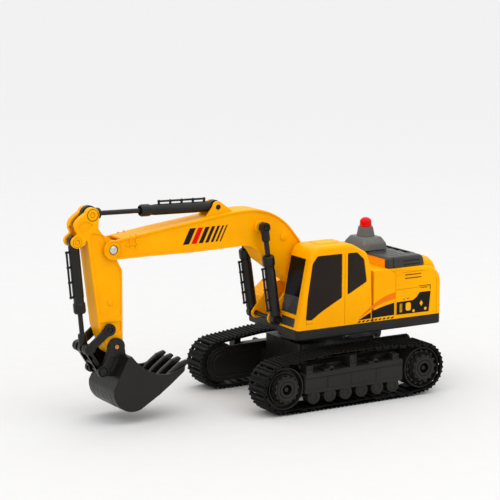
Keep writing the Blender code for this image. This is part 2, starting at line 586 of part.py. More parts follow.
# The rear corners follow the deck's corners in plan.
trim = cut(box((-HOUSE_HALF_WIDTH - MM, HOUSE_REAR - HOUSE_CORNER, base - 2 * MM),
               (HOUSE_HALF_WIDTH + MM, HOUSE_REAR + MM, HUMP_TOP + MM)),
           solid(rounded([((-HOUSE_HALF_WIDTH, CAB_REAR), 0), ((HOUSE_HALF_WIDTH, CAB_REAR), 0),
                          ((HOUSE_HALF_WIDTH, HOUSE_REAR), HOUSE_CORNER),
                          ((-HOUSE_HALF_WIDTH, HOUSE_REAR), HOUSE_CORNER)], 5),
                 base - 3 * MM, HUMP_TOP + 2 * MM, "Z"))
cut(shell, trim)
piece("body_shell", shell, "yellow_abs", "house")

tank_inner = -CAB_INNER
tank_profile = rounded([((HOUSE_FRONT, base), 0), ((CAB_REAR, base), 0), ((CAB_REAR, BODY_TOP - 2 * MM), 0),
                        ((CAB_REAR - 16 * MM, BODY_TOP - 2 * MM), 3 * MM), ((CAB_REAR - 26 * MM, TANK_TOP), 3 * MM),
                        ((HOUSE_FRONT + 14 * MM, TANK_TOP - 2 * MM), 3 * MM),
                        ((HOUSE_FRONT + 1 * MM, base + 15 * MM), 3 * MM)], 2)
tank = solid(tank_profile, -HOUSE_HALF_WIDTH, tank_inner)
cut(tank, box((-HOUSE_HALF_WIDTH + WALL, HOUSE_FRONT + WALL + MM, base - MM),
              (tank_inner - WALL, CAB_REAR - WALL, base + 13 * MM)))
piece("right_tank", tank, "yellow_abs", "house")

# ---- Cab -----------------------------------------------------------------------------------------
CAB_OUTER = HOUSE_HALF_WIDTH
SCREEN_LEAN = 11.5 * MM         # how far the top of the cab's front stands behind its foot
FRONT_TOP_Z = CAB_TOP - 9.0 * MM
cab_profile = rounded([((CAB_FRONT, base), 0), ((CAB_REAR, base), 0),
                       ((CAB_REAR - 1.5 * MM, BODY_TOP + 2 * MM), 3 * MM),
                       ((CAB_REAR - 6 * MM, CAB_TOP - 8.5 * MM), 6 * MM), ((CAB_REAR - 21 * MM, CAB_TOP), 8 * MM),
                       ((CAB_FRONT + SCREEN_LEAN + 4 * MM, CAB_TOP), 5 * MM),
                       ((CAB_FRONT + SCREEN_LEAN, FRONT_TOP_Z), 4 * MM)], 3)
inner_profile = rounded([((CAB_FRONT + WALL, base - MM), 0), ((CAB_REAR - WALL, base - MM), 0),
                         ((CAB_REAR - WALL - 1.5 * MM, BODY_TOP + 1 * MM), 2 * MM),
                         ((CAB_REAR - WALL - 6 * MM, CAB_TOP - 9.5 * MM), 5 * MM),
                         ((CAB_REAR - 21.5 * MM, CAB_TOP - WALL), 6 * MM),
                         ((CAB_FRONT + SCREEN_LEAN + 4.8 * MM, CAB_TOP - WALL), 4 * MM),
                         ((CAB_FRONT + SCREEN_LEAN + WALL, FRONT_TOP_Z), 3 * MM)], 3)
cab = solid(cab_profile, CAB_INNER, CAB_OUTER)
cut(cab, solid(inner_profile, CAB_INNER + WALL, CAB_OUTER - WALL))
# The outer front corner is rounded in plan.
cab_corner = 5.0 * MM
post = cut(box((CAB_OUTER - cab_corner, CAB_FRONT - MM, base - MM),
               (CAB_OUTER + MM, CAB_FRONT + cab_corner, base + 30 * MM)),
           turned([(base - 2 * MM, 0), (base - 2 * MM, cab_corner), (base + 31 * MM, cab_corner),
                   (base + 31 * MM, 0)], (CAB_OUTER - cab_corner, CAB_FRONT + cab_corner, 0), "Z", 24))
cut(cab, post)


def front_y(z):
    """The cab's front face at a height."""
    return CAB_FRONT + SCREEN_LEAN * (z - base) / (FRONT_TOP_Z - base)


def front_pane(x0, x1, z0, z1, sink, depth):
    """A slab that follows the leaning front of the cab, from sink to sink + depth behind its face."""
    return solid([(front_y(z0) + sink, z0), (front_y(z0) + sink + depth, z0),
                  (front_y(z1) + sink + depth, z1), (front_y(z1) + sink, z1)], x0, x1)


PANE = 1.2 * MM                 # thickness of the panes
PANE_SINK = 0.4 * MM            # panes lie this deep in their openings
pane_x = (CAB_INNER + 2.8 * MM, CAB_OUTER - 7.5 * MM)
screen_z = (87.4 * MM, FRONT_TOP_Z - 1.0 * MM)
lower_z = (73.6 * MM, 87.4 * MM)
foot_z = (63.4 * MM, 70.0 * MM)
front_panes = (("windscreen", pane_x, (screen_z[0] + GAP / 2, screen_z[1]), "window_abs"),
               ("windscreen_lower", pane_x, (lower_z[0], lower_z[1] - GAP / 2), "window_grey_abs"),
               ("foot_window", (pane_x[0] + 3 * MM, pane_x[1]), foot_z, "window_grey_abs"))
for name, (x0, x1), (z0, z1), colour in front_panes:
    cut(cab, front_pane(x0 - GAP, x1 + GAP, z0 - GAP, z1 + GAP, -4 * MM, 10 * MM))
    piece(name, front_pane(x0, x1, z0, z1, PANE_SINK, PANE), colour, "house")

door_outline = rounded([((-34.0 * MM, 70.0 * MM), 2 * MM), ((-23.5 * MM, 70.0 * MM), 3 * MM),
                        ((-2.8 * MM, 85.0 * MM), 2 * MM), ((-2.8 * MM, 119.8 * MM), 1.5 * MM),
                        ((-26.5 * MM, 119.8 * MM), 2.5 * MM)], 3)
rear_outline = rounded([((3.0 * MM, 86.6 * MM), 1 * MM), ((20.6 * MM, 94.6 * MM), 2 * MM),
                        ((18.6 * MM, 113.0 * MM), 3 * MM), ((12.0 * MM, 119.8 * MM), 3 * MM),
                        ((3.0 * MM, 119.8 * MM), 1 * MM)], 3)
right_outline = rounded([((-24.0 * MM, 98.0 * MM), 2 * MM), ((14.0 * MM, 98.0 * MM), 2 * MM),
                         ((10.0 * MM, 119.8 * MM), 2 * MM), ((-24.0 * MM, 119.8 * MM), 2 * MM)], 2)


def grown(outline, amount):
    """An outline moved outwards by an amount, for outlines that run anticlockwise."""
    wider = []
    for i, here in enumerate(outline):
        before = (here - outline[i - 1]).normalized()
        after = (outline[(i + 1) % len(outline)] - here).normalized()
        normal = (Vector((before.y, -before.x)) + Vector((after.y, -after.x))).normalized()
        wider.append(here + normal * amount / max(0.5, normal.dot(Vector((before.y, -before.x)))))
    return wider


for name, outline, face, inward in (("door_window", door_outline, CAB_OUTER, -1),
                                    ("rear_side_window", rear_outline, CAB_OUTER, -1),
                                    ("cab_right_window", right_outline, CAB_INNER, 1)):
    cut(cab, solid(grown(outline, GAP), face - inward * MM, face + inward * (WALL + MM)))
    near = face + inward * PANE_SINK
    piece(name, solid(outline, near, near + inward * PANE), "window_abs", "house")
piece("cab_shell", cab, "yellow_abs", "house")

# ---- Hood and beacon -----------------------------------------------------------------------------
hood_x = (-HOUSE_HALF_WIDTH + 2.7 * MM, HOUSE_HALF_WIDTH - 2.7 * MM)
hood_base = BODY_TOP + GAP
hood = solid(rounded([((HOOD_FRONT - 1.0 * MM, hood_base), 0), ((HOOD_REAR, hood_base), 0),
                      ((HOOD_REAR, HOOD_TOP), 5 * MM), ((HOOD_FRONT - 1.0 * MM, HOOD_TOP), 4 * MM)], 4), *hood_x)
cut(hood, box((-HOUSE_HALF_WIDTH + 4 * MM - GAP, HOOD_FRONT - 3 * MM, hood_base - MM),
              (HOUSE_HALF_WIDTH - 8 * MM + GAP, HOOD_REAR - 6 * MM + GAP, HOOD_TOP - WALL)))
for row in (0, 1):
    z = HOOD_TOP - (5.0 + 3.0 * row) * MM
    cut(hood, box((hood_x[1] - 0.8 * MM, 58.5 * MM, z), (hood_x[1] + MM, 74.5 * MM, z + 1.2 * MM)),
        box((hood_x[0] - MM, 58.5 * MM, z), (hood_x[0] + 0.8 * MM, 74.5 * MM, z + 1.2 * MM)))
piece("engine_hood", hood, "dark_grey_abs", "house")

TOWER_HALF = (15.0 * MM, 12.2 * MM)
tower_foot = HOOD_TOP + GAP
tower = solid(rounded([((BEACON_X - TOWER_HALF[0], BEACON_Y - TOWER_HALF[1]), 2 * MM),
                       ((BEACON_X + TOWER_HALF[0], BEACON_Y - TOWER_HALF[1]), 2 * MM),
                       ((BEACON_X + TOWER_HALF[0], BEACON_Y + TOWER_HALF[1]), 2 * MM),
                       ((BEACON_X - TOWER_HALF[0], BEACON_Y + TOWER_HALF[1]), 2 * MM)], 2),
              tower_foot, tower_foot + 6.0 * MM, "Z")
edit = bmesh.new()
edit.from_mesh(tower.data)
top_face = max(edit.faces, key=lambda f: f.calc_center_median().z)
raised = bmesh.ops.extrude_discrete_faces(edit, faces=[top_face])["faces"][0]
bmesh.ops.translate(edit, verts=raised.verts, vec=(0, 0, 5.0 * MM))
bmesh.ops.scale(edit, verts=raised.verts, vec=(0.56, 0.68, 1.0),
                space=Matrix.Translation((-BEACON_X, -BEACON_Y, 0)))
edit.to_mesh(tower.data)
edit.free()
fuse(tower, turned([(tower_foot + 8 * MM, 0), (tower_foot + 8 * MM, 8.0 * MM), (TOWER_TOP - 6.6 * MM, 7.4 * MM),
                    (TOWER_TOP, 6.1 * MM), (TOWER_TOP, 0)], (BEACON_X, BEACON_Y, 0), "Z", 24))
cut(tower, turned([(TOWER_TOP - 3 * MM, 0), (TOWER_TOP - 3 * MM, 3.4 * MM), (TOWER_TOP + MM, 3.4 * MM),
                   (TOWER_TOP + MM, 0)], (BEACON_X, BEACON_Y, 0), "Z", 16))
piece("beacon_tower", tower, "mid_grey_abs", "house")
lens_foot = TOWER_TOP + GAP
dome = [(lens_foot + LENS_HEIGHT - LENS_RADIUS + LENS_RADIUS * math.sin(math.radians(a)),
         LENS_RADIUS * math.cos(math.radians(a))) for a in (0, 18, 36, 54, 72)]
lens = turned([(lens_foot, 0), (lens_foot, LENS_RADIUS + 0.3 * MM)] + dome + [(lens_foot + LENS_HEIGHT, 0)],
              (BEACON_X, BEACON_Y, 0), "Z", 24)
fuse(lens, turned([(lens_foot - 2.4 * MM, 0), (lens_foot - 2.4 * MM, 3.0 * MM), (lens_foot + MM, 3.0 * MM),
                   (lens_foot + MM, 0)], (BEACON_X, BEACON_Y, 0), "Z", 16))
piece("beacon_lens", lens, "red_lens", "house")

# ---- Boom bracket and what lies inside the house -------------------------------------------------
ear_outline = (arc(CYLINDER_FOOT, 4.2 * MM, 150, 300, 6) + points_mm((-36.0, 61.9), (14.0, 61.9), (14.0, 68.0))
               + arc(BOOM_FOOT, 9.5 * MM, 0, 110, 6) + points_mm((-24.0, 92.5), (-34.5, 90.0)))
bracket = solid(ear_outline, EAR_INNER, EAR_OUTER)
fuse(bracket, solid(ear_outline, -EAR_OUTER, -EAR_INNER),
     box((-EAR_INNER - MM, -36.0 * MM, base), (EAR_INNER + MM, 14.0 * MM, base + 3.0 * MM)))
cut(bracket, rod(-EAR_OUTER - MM, EAR_OUTER + MM, BOOM_FOOT, FOOT_ROD_RADIUS + GAP),
    rod(-EAR_OUTER - MM, EAR_OUTER + MM, CYLINDER_FOOT, PIN_RADIUS + GAP))
piece("boom_bracket", bracket, "yellow_abs", "house")
piece("boom_foot_pin", rod(-EAR_OUTER, EAR_OUTER, BOOM_FOOT, FOOT_ROD_RADIUS), "steel", "house")
pin_reach = BOOM_CYLINDER_X + CYLINDER_EYE_WIDTH / 2 + 0.4 * MM
piece("cylinder_foot_pin", rod(-pin_reach, pin_reach, CYLINDER_FOOT, PIN_RADIUS), "black_abs", "house")
gear_case = turned([(DECK_BOTTOM + 2.8 * MM, 0), (DECK_BOTTOM + 2.8 * MM, 12 * MM), (base + 22 * MM, 12 * MM),
                    (base + 22 * MM, 0)], (20 * MM, 52 * MM, 0), "Z", 24)
piece("swing_gearbox", gear_case, "mid_grey_abs", "house")
board = box((-34 * MM, 40 * MM, base + 8 * MM), (0, 78 * MM, base + 9.6 * MM))
for x0, y0, wide, tall in ((-28, 46, 9, 3), (-14, 50, 6, 6), (-28, 62, 12, 4)):
    fuse(board, box((x0 * MM, y0 * MM, base + 9 * MM), ((x0 + wide) * MM, (y0 + 8) * MM, base + (9.6 + tall) * MM)))
piece("circuit_board", board, "green_board", "house")

# ---- Boom ----------------------------------------------------------------------------------------
FORK_DEPTH = 16.0 * MM          # how far the fork at the boom's end reaches back from the stick's pivot
FORK_MOUTH = 7.4 * MM           # and how far it is open at its top
FORK_ROOF = 139.0 * MM          # underside of the plate that closes its top
BOOM_POSTS = points_mm((-150, 137), (-110, 139), (-80, 141), (-40, 128), (-18, 106))
boom_top = points_mm((-150.4, 147.6), (-115.3, 151.8), (-87.7, 155.4), (-67.5, 156.4), (-54.5, 154.6),
                     (-43.0, 149.8), (-32.5, 141.8), (-22.5, 129.8))
boom_under = points_mm((-155.9, 127.6), (-122.2, 127.1), (-94.7, 127.5), (-72.0, 127.9), (-64.5, 125.3),
                       (-59.0, 120.5), (-54.7, 113.6))
boom_outline = (arc(BOOM_FOOT, 9.0 * MM, 205, 385, 8)
                + boom_top[::-1] + arc(STICK_PIVOT, 7.7 * MM, 72, 262, 10) + boom_under)
inner_outline = grown(boom_outline, -RIM)


def boom_half():
    """The +X half of the boom: side wall, rim, and the screw posts that its other half meets."""
    half = solid(boom_outline, GAP / 2, BOOM_HALF)
    cut(half, solid(inner_outline, -MM, BOOM_HALF - BOOM_SIDE))
    for point in BOOM_POSTS:
        fuse(half, rod(GAP / 2, BOOM_HALF - MM, point, POST_RADIUS, 8))
    # The fork that takes the stick, and the slot that takes the stick cylinder's foot.
    fork_front = STICK_PIVOT.x - 40 * MM
    cut(half, box((-MM, fork_front, MM * 100), (BOOM_HALF - BOOM_SIDE, STICK_PIVOT.x + FORK_MOUTH, MM * 190)),
        box((-MM, fork_front, MM * 99), (BOOM_HALF - BOOM_SIDE, STICK_PIVOT.x + FORK_DEPTH, FORK_ROOF)))
    lug = solid([(STICK_CYLINDER_FOOT.x - 13 * MM, 150.5 * MM), (STICK_CYLINDER_FOOT.x + 17 * MM, 153.0 * MM)]
                + arc(STICK_CYLINDER_FOOT, 4.6 * MM, 50, 175, 5), STICK_LUG_HALF - LUG_WALL, STICK_LUG_HALF)
    fuse(half, lug)
    fuse(half, rod(BOOM_HALF - MM, BOOM_HALF + BOOM_BOSS, BOOM_CYLINDER_EYE, 4.6 * MM, 18))
    cut(half, rod(-MM, BOOM_HALF + 10 * MM, BOOM_CYLINDER_EYE, PIN_RADIUS + GAP),
        rod(-MM, BOOM_HALF + MM, STICK_PIVOT, PIN_RADIUS + GAP),
        rod(-MM, BOOM_HALF + MM, STICK_CYLINDER_FOOT, PIN_RADIUS + GAP),
        rod(-MM, BOOM_HALF + MM, BOOM_FOOT, FOOT_ROD_RADIUS + RUN),
        rod(BOOM_HALF - SCREW_HEAD, BOOM_HALF + MM, STICK_PIVOT, SCREW_RADIUS + RUN))
    # The rim under the cylinder's foot gives way to it.
    return cut(half, solid(arc(STICK_CYLINDER_FOOT, STICK_CYLINDER["foot"] + RUN, 0, 345, 14), -MM,
                           CYLINDER_EYE_WIDTH / 2 + RUN))


left = boom_half()
piece("boom_right_half", mirrored(left), "yellow_abs", "boom")
piece("boom_left_half", left, "yellow_abs", "boom")
head_x = BOOM_HALF - SCREW_HEAD + GAP
screw = fuse(rod(-BOOM_HALF + 0.2 * MM, head_x, STICK_PIVOT, PIN_RADIUS),
             rod(head_x, BOOM_HALF - 0.1 * MM, STICK_PIVOT, SCREW_RADIUS))
piece("stick_pivot_screw", screw, "steel", "boom")
lug_reach = STICK_LUG_HALF + 0.3 * MM
piece("stick_cylinder_pin", rod(-lug_reach, lug_reach, STICK_CYLINDER_FOOT, PIN_RADIUS), "black_abs", "boom")
piece("boom_cylinder_pin", rod(-pin_reach, pin_reach, BOOM_CYLINDER_EYE, PIN_RADIUS), "black_abs", "boom")

# ---- Stick ---------------------------------------------------------------------------------------
STICK_POSTS = points_mm((-192, 112), (-190, 92))
stick_outline = (arc(STICK_PIVOT, 7.0 * MM, -65, 80, 6) + points_mm((-196.4, 147.5), (-199.6, 152.4))
                 + arc(STICK_EYE, 5.6 * MM, -20, 160, 8)
                 + points_mm((-214.2, 162.0), (-218.0, 158.2), (-218.8, 153.5), (-217.0, 149.0))
                 + arc(BUCKET_CYLINDER_FOOT, 4.6 * MM, 110, 290, 7)
                 + points_mm((-211.0, 140.8), (-209.2, 144.0), (-207.0, 127.8), (-203.4, 99.8), (-200.6, 76.0))
                 + arc(BUCKET_PIVOT, 7.0 * MM, 200, 352, 7) + points_mm((-180.1, 71.6), (-179.8, 118.3)))
stick_inner = grown(stick_outline, -RIM)


def stick_half():
    """The +X half of the stick: side wall, rim and the two lugs of the gooseneck bracket."""
    half = solid(stick_outline, GAP / 2, STICK_HALF)
    cut(half, solid(stick_inner, -MM, STICK_HALF - STICK_SIDE))
    for point, radius in ((STICK_PIVOT, 4.2 * MM), (ROCKER_PIVOT, 4.2 * MM), (BUCKET_PIVOT, 4.6 * MM)):
        fuse(half, rod(GAP / 2, STICK_HALF - MM, point, radius, 12))
    for point in STICK_POSTS:
        fuse(half, rod(GAP / 2, STICK_HALF - MM, point, POST_RADIUS, 8))
    # The forks that take the two cylinders.
    split_z = STICK_EYE.y - STICK_CYLINDER["eye"] - 2.0 * MM
    fork_front = STICK_EYE.x - 36 * MM
    cut(half, box((-MM, fork_front, split_z - MM),
                  (EYE_SLOT_HALF, STICK_EYE.x + STICK_CYLINDER["eye"] + RUN, STICK_EYE.y + 12 * MM)),
        box((-MM, fork_front, BUCKET_CYLINDER_FOOT.y - 14 * MM),
            (FOOT_SLOT_HALF, BUCKET_CYLINDER_FOOT.x + BUCKET_CYLINDER["foot"] + 1.6 * MM, split_z)))
    for point, radius in ((STICK_EYE, PIN_RADIUS + GAP), (BUCKET_CYLINDER_FOOT, PIN_RADIUS + GAP),
                          (STICK_PIVOT, PIN_RADIUS + RUN), (ROCKER_PIVOT, PIN_RADIUS + GAP),
                          (BUCKET_PIVOT, PIN_RADIUS + GAP)):
        cut(half, rod(-MM, STICK_HALF + MM, point, radius))
    return half


left = stick_half()
piece("stick_right_half", mirrored(left), "yellow_abs", "stick")
piece("stick_left_half", left, "yellow_abs", "stick")
piece("stick_eye_pin", rod(-STICK_HALF, STICK_HALF, STICK_EYE, PIN_RADIUS), "yellow_abs", "stick")
piece("bucket_cylinder_pin", rod(-STICK_HALF, STICK_HALF, BUCKET_CYLINDER_FOOT, PIN_RADIUS), "yellow_abs", "stick")
rocker_outer = ROCKER_INNER + ROCKER_WALL
piece("rocker_pin", rod(-rocker_outer, rocker_outer, ROCKER_PIVOT, PIN_RADIUS), "black_abs", "stick")
bucket_ear_outer = BUCKET_EAR_INNER + BUCKET_EAR_WALL
piece("bucket_pin", rod(-bucket_ear_outer, bucket_ear_outer, BUCKET_PIVOT, PIN_RADIUS), "copper_steel", "stick")

# ---- Rocker, link and bucket ---------------------------------------------------------------------
OPEN_PIVOT = 1.0 * MM           # extra clearance of the pivot where the linkage is opened
LINK_RIM = 1.4 * MM             # wall of the link round that pivot
BRIDGE_AT = 0.62                # how far down the link its cross bar lies
TEETH = 4
TOOTH_HALF = 1.9 * MM
TOOTH_EDGE = 3.5 * MM           # middle of the outer teeth from the bucket's side
BUCKET_BACK = Vector((-178.2, 26.6)) * MM
BACK_RADIUS = 17.2 * MM


def strap(point_a, radius_a, point_b, radius_b, x0, x1):
    """A flat strap with two round ends."""
    return solid(around([(point_a, radius_a, 20), (point_b, radius_b, 20)]), x0, x1)


rocker = strap(ROCKER_PIVOT, 4.8 * MM, ROCKER_END, 4.2 * MM, ROCKER_INNER, rocker_outer)
fuse(rocker, strap(ROCKER_PIVOT, 4.8 * MM, ROCKER_END, 4.2 * MM, -rocker_outer, -ROCKER_INNER),
     rod(-ROCKER_INNER - MM, ROCKER_INNER + MM, ROCKER_END, PIN_RADIUS))
cut(rocker, rod(-rocker_outer - MM, rocker_outer + MM, ROCKER_PIVOT, PIN_RADIUS + RUN))
piece("rocker", rocker, "black_abs", "rocker")

link_hole = PIN_RADIUS + OPEN_PIVOT
link = strap(ROCKER_END, link_hole + LINK_RIM, LINK_END, 3.5 * MM, LINK_INNER, LINK_OUTER)
bridge_at = ROCKER_END.lerp(LINK_END, BRIDGE_AT)
fuse(link, strap(ROCKER_END, link_hole + LINK_RIM, LINK_END, 3.5 * MM, -LINK_OUTER, -LINK_INNER),
     rod(-LINK_INNER - MM, LINK_INNER + MM, bridge_at, 2.2 * MM, 12))
cut(link, rod(-LINK_OUTER - MM, LINK_OUTER + MM, ROCKER_END, link_hole),
    rod(-LINK_OUTER - MM, LINK_OUTER + MM, LINK_END, PIN_RADIUS + RUN))
piece("bucket_link", link, "black_abs", "link")

bucket_outer = (points_mm((-179.6, 53.4), (-182.2, 52.6), (-195.2, 28.5))
                + arc(BUCKET_BACK, BACK_RADIUS, 185, 292, 8)
                + points_mm((-155.7, 20.0), (-145.4, 27.2), (-133.4, 36.4), (-133.0, 40.6)))
bucket_rim = points_mm((-140.6, 37.6), (-147.7, 35.6), (-155.6, 36.4), (-163.0, 39.0), (-169.4, 42.8),
                       (-175.7, 48.7))
bucket_shape = solid(bucket_outer + bucket_rim, -BUCKET_HALF, BUCKET_HALF)
cavity = (points_mm((-178.4, 51.6), (-180.2, 51.3), (-193.1, 28.4))
          + arc(BUCKET_BACK, BACK_RADIUS - BUCKET_WALL, 185, 292, 8)
          + points_mm((-156.7, 21.8), (-146.6, 28.9), (-134.6, 38.2), (-131.0, 44.0), (-150.0, 60.0),
                      (-174.0, 60.0)))
cut(bucket_shape, solid(cavity, -BUCKET_HALF + BUCKET_WALL, BUCKET_HALF - BUCKET_WALL))
ear_shape = (arc(BUCKET_PIVOT, 6.9 * MM, -12, 168, 8) + arc(LINK_END, 4.3 * MM, 100, 300, 7)
             + points_mm((-190.0, 37.0), (-184.0, 48.2), (-179.4, 51.6)))
for x0, x1 in ((BUCKET_EAR_INNER, bucket_ear_outer), (-bucket_ear_outer, -BUCKET_EAR_INNER)):
    fuse(bucket_shape, solid(ear_shape, x0, x1))
fuse(bucket_shape, rod(-BUCKET_EAR_INNER - MM, BUCKET_EAR_INNER + MM, LINK_END, PIN_RADIUS))
cut(bucket_shape, rod(-bucket_ear_outer - MM, bucket_ear_outer + MM, BUCKET_PIVOT, PIN_RADIUS + RUN))
tooth_pitch = 2 * (BUCKET_HALF - TOOTH_EDGE) / (TEETH - 1)
for k in range(TEETH):
    x = -BUCKET_HALF + TOOTH_EDGE + k * tooth_pitch
    tooth = solid(points_mm((-152.0, 24.4), (-145.6, 28.6), (-134.0, 37.2), (-128.6, 42.8), (-130.6, 44.6),
                            (-137.4, 42.6), (-146.0, 36.4), (-153.6, 29.2)), x - TOOTH_HALF, x + TOOTH_HALF)
    fuse(bucket_shape, tooth)
piece("bucket", bucket_shape, "black_abs", "bucket")


# ---- Cylinders -----------------------------------------------------------------------------------
def placed(shape, foot, eye, x):
    """Turns a shape made along +Z so that it runs from the foot pin towards the eye pin."""
    way = (eye - foot).normalized()
    turn = Matrix.Rotation(math.atan2(way.y, way.x) - math.pi / 2, 4, "X")
    edit = bmesh.new()
    edit.from_mesh(shape.data)
    bmesh.ops.transform(edit, verts=edit.verts, matrix=Matrix.Translation((x, foot.x, foot.y)) @ turn)
    edit.to_mesh(shape.data)
    edit.free()
    return shape


def barrel(name, size, foot, eye, x, eye_half, rail_side, rail, carrier):
    """A cylinder barrel: foot eye, tube with a collar at its mouth, and the hand rail moulded on it."""
    mouth = size["mouth"]
    start = size["foot"] * 0.75
    shape = turned([(start, 0), (start, size["barrel"]), (mouth - 8 * MM, size["barrel"]),
                    (mouth - 7.4 * MM, size["collar"]), (mouth, size["collar"]), (mouth, 0)], (0, 0, 0), "Z", 16)
    fuse(shape, rod(-eye_half, eye_half, (0, 0), size["foot"], 16))
    bore_start = mouth - size["rod_inside"] - 14 * MM
    cut(shape, turned([(bore_start, 0), (bore_start, size["bore"]), (mouth + MM, size["bore"]), (mouth + MM, 0)],
                      (0, 0, 0), "Z", 16),
        rod(-eye_half - MM, eye_half + MM, (0, 0), PIN_RADIUS + RUN))
    low, high, posts = rail
    reach = rail_side * (size["barrel"] + 2.2 * MM)
    inner, outer = sorted((reach, reach + rail_side * 1.1 * MM))
    fuse(shape, box((-0.7 * MM, inner, low), (0.7 * MM, outer, high)))
    for k in range(posts):
        z = low + 0.7 * MM + k * (high - low - 1.4 * MM) / (posts - 1)
        y0, y1 = sorted((rail_side * (size["barrel"] - 0.4 * MM), reach + rail_side * 0.5 * MM))
        fuse(shape, box((-0.65 * MM, y0, z - 0.65 * MM), (0.65 * MM, y1, z + 0.65 * MM)))
    piece(name, placed(shape, foot, eye, x), "black_abs", carrier)


def piston_rod(name, size, foot, eye, x, eye_half, clearance, carrier):
    """A piston rod: eye on its pin and a straight bar that reaches into the barrel."""
    length = (eye - foot).length
    inside = size["mouth"] - size["rod_inside"]
    shape = turned([(inside, 0), (inside, size["rod"]), (length - size["eye"] * 0.6, size["rod"]),
                    (length - size["eye"] * 0.6, 0)], (0, 0, 0), "Z", 12)
    fuse(shape, rod(-eye_half, eye_half, (0, length), size["eye"], 16))
    cut(shape, rod(-eye_half - MM, eye_half + MM, (0, length), PIN_RADIUS + clearance))
    piece(name, placed(shape, foot, eye, x), "black_abs", carrier)


eye_half = CYLINDER_EYE_WIDTH / 2
for side, sign in (("left", 1), ("right", -1)):
    barrel("boom_cylinder_barrel_" + side, BOOM_CYLINDER, CYLINDER_FOOT, BOOM_CYLINDER_EYE,
           sign * BOOM_CYLINDER_X, eye_half, -1, (8 * MM, 44 * MM, 5), "boom_barrels")
    piston_rod("boom_cylinder_rod_" + side, BOOM_CYLINDER, CYLINDER_FOOT, BOOM_CYLINDER_EYE,
               sign * BOOM_CYLINDER_X, eye_half, RUN, "boom_rods")
barrel("stick_cylinder_barrel", STICK_CYLINDER, STICK_CYLINDER_FOOT, STICK_EYE, 0, eye_half,
       1, (8 * MM, 50 * MM, 5), "stick_barrel")
piston_rod("stick_cylinder_rod", STICK_CYLINDER, STICK_CYLINDER_FOOT, STICK_EYE, 0, eye_half, RUN, "stick_rod")
barrel("bucket_cylinder_barrel", BUCKET_CYLINDER, BUCKET_CYLINDER_FOOT, ROCKER_END, 0, eye_half,
       1, (7 * MM, 44 * MM, 4), "bucket_barrel")
piston_rod("bucket_cylinder_rod", BUCKET_CYLINDER, BUCKET_CYLINDER_FOOT, ROCKER_END, 0, ROD_EYE_HALF, RUN,
           "bucket_rod")

# ---- The origin stands under the middle of the whole object --------------------------------------
bpy.context.view_layer.update()
reach_y = [(shape.matrix_world @ vertex.co).y for shape in bpy.data.objects if shape.type == "MESH"
           for vertex in shape.data.vertices]
BODIES["undercarriage"].location.y = -(min(reach_y) + max(reach_y)) / 2
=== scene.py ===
"""A toy excavator on tracks, moulded in ABS, with its arm pinned together and its tracks in rubber.

Lengths are millimetres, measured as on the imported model: X across, Y along from the swing axis
(the bucket is at -Y), Z up from the ground. One function at the end of each piece turns them to metres.
"""
import math

import bmesh
import bpy
from mathutils import Matrix, Vector


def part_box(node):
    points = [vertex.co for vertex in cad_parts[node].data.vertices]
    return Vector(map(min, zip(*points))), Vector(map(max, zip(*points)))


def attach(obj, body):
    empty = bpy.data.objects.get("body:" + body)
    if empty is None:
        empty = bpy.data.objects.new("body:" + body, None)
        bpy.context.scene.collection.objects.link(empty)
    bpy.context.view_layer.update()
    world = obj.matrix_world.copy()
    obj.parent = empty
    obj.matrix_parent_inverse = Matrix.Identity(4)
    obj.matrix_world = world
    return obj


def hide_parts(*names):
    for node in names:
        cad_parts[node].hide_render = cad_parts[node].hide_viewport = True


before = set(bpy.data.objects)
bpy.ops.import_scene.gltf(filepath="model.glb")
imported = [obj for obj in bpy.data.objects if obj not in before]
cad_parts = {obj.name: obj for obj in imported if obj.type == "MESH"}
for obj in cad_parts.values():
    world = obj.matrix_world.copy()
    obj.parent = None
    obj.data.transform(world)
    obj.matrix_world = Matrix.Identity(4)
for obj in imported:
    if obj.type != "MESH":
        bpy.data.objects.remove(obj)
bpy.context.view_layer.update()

scene = bpy.context.scene
scene.view_settings.view_transform = "Standard"

# ---- Studio: camera, light, floor -------------------------------------------------------------
# A table-top set: seamless matt white card, one broad soft box overhead, a second one low in
# front, and pale walls all round that fill the shadows.
SWING_Y = sum(corner[1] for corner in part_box("turntable_ring")) / 2
TARGET = Vector((-0.03548, SWING_Y - 0.04034, 0.11442))
AZIMUTH, ELEVATION, REACH = math.radians(59.25), math.radians(10.27), 1.63846

camera = bpy.data.objects.new("camera", bpy.data.cameras.new("camera"))
camera.data.lens = 144.0
camera.data.sensor_width = 36.0
outward = Vector((math.sin(AZIMUTH) * math.cos(ELEVATION), -math.cos(AZIMUTH) * math.cos(ELEVATION),
                  math.sin(ELEVATION)))
camera.location = TARGET + outward * REACH
camera.rotation_euler = outward.to_track_quat("Z", "Y").to_euler()
scene.collection.objects.link(camera)
scene.camera = camera

for name, place, size, power in (("soft_box_top", (0.15, 0.10, 1.15), (1.3, 1.3), 2.2),
                                 ("soft_box_front", (0.75, -1.25, 0.75), (1.0, 0.8), 0.8),
                                 ("soft_box_side", (1.6, 0.45, 0.8), (0.9, 0.9), 2.4)):
    lamp = bpy.data.lights.new(name, "AREA")
    lamp.shape = "RECTANGLE"
    lamp.size, lamp.size_y = size
    lamp.energy = power
    lamp.color = (1.0, 0.99, 0.98)
    holder = bpy.data.objects.new(name, lamp)
    holder.location = place
    holder.rotation_euler = (Vector(place) - Vector((0, 0, 0.08))).to_track_quat("Z", "Y").to_euler()
    scene.collection.objects.link(holder)


def linear(code):
    """An sRGB hex colour as linear RGBA."""
    parts = [int(code[i:i + 2], 16) / 255 for i in (1, 3, 5)]
    return (*(c / 12.92 if c <= 0.04045 else ((c + 0.055) / 1.055) ** 2.4 for c in parts), 1.0)


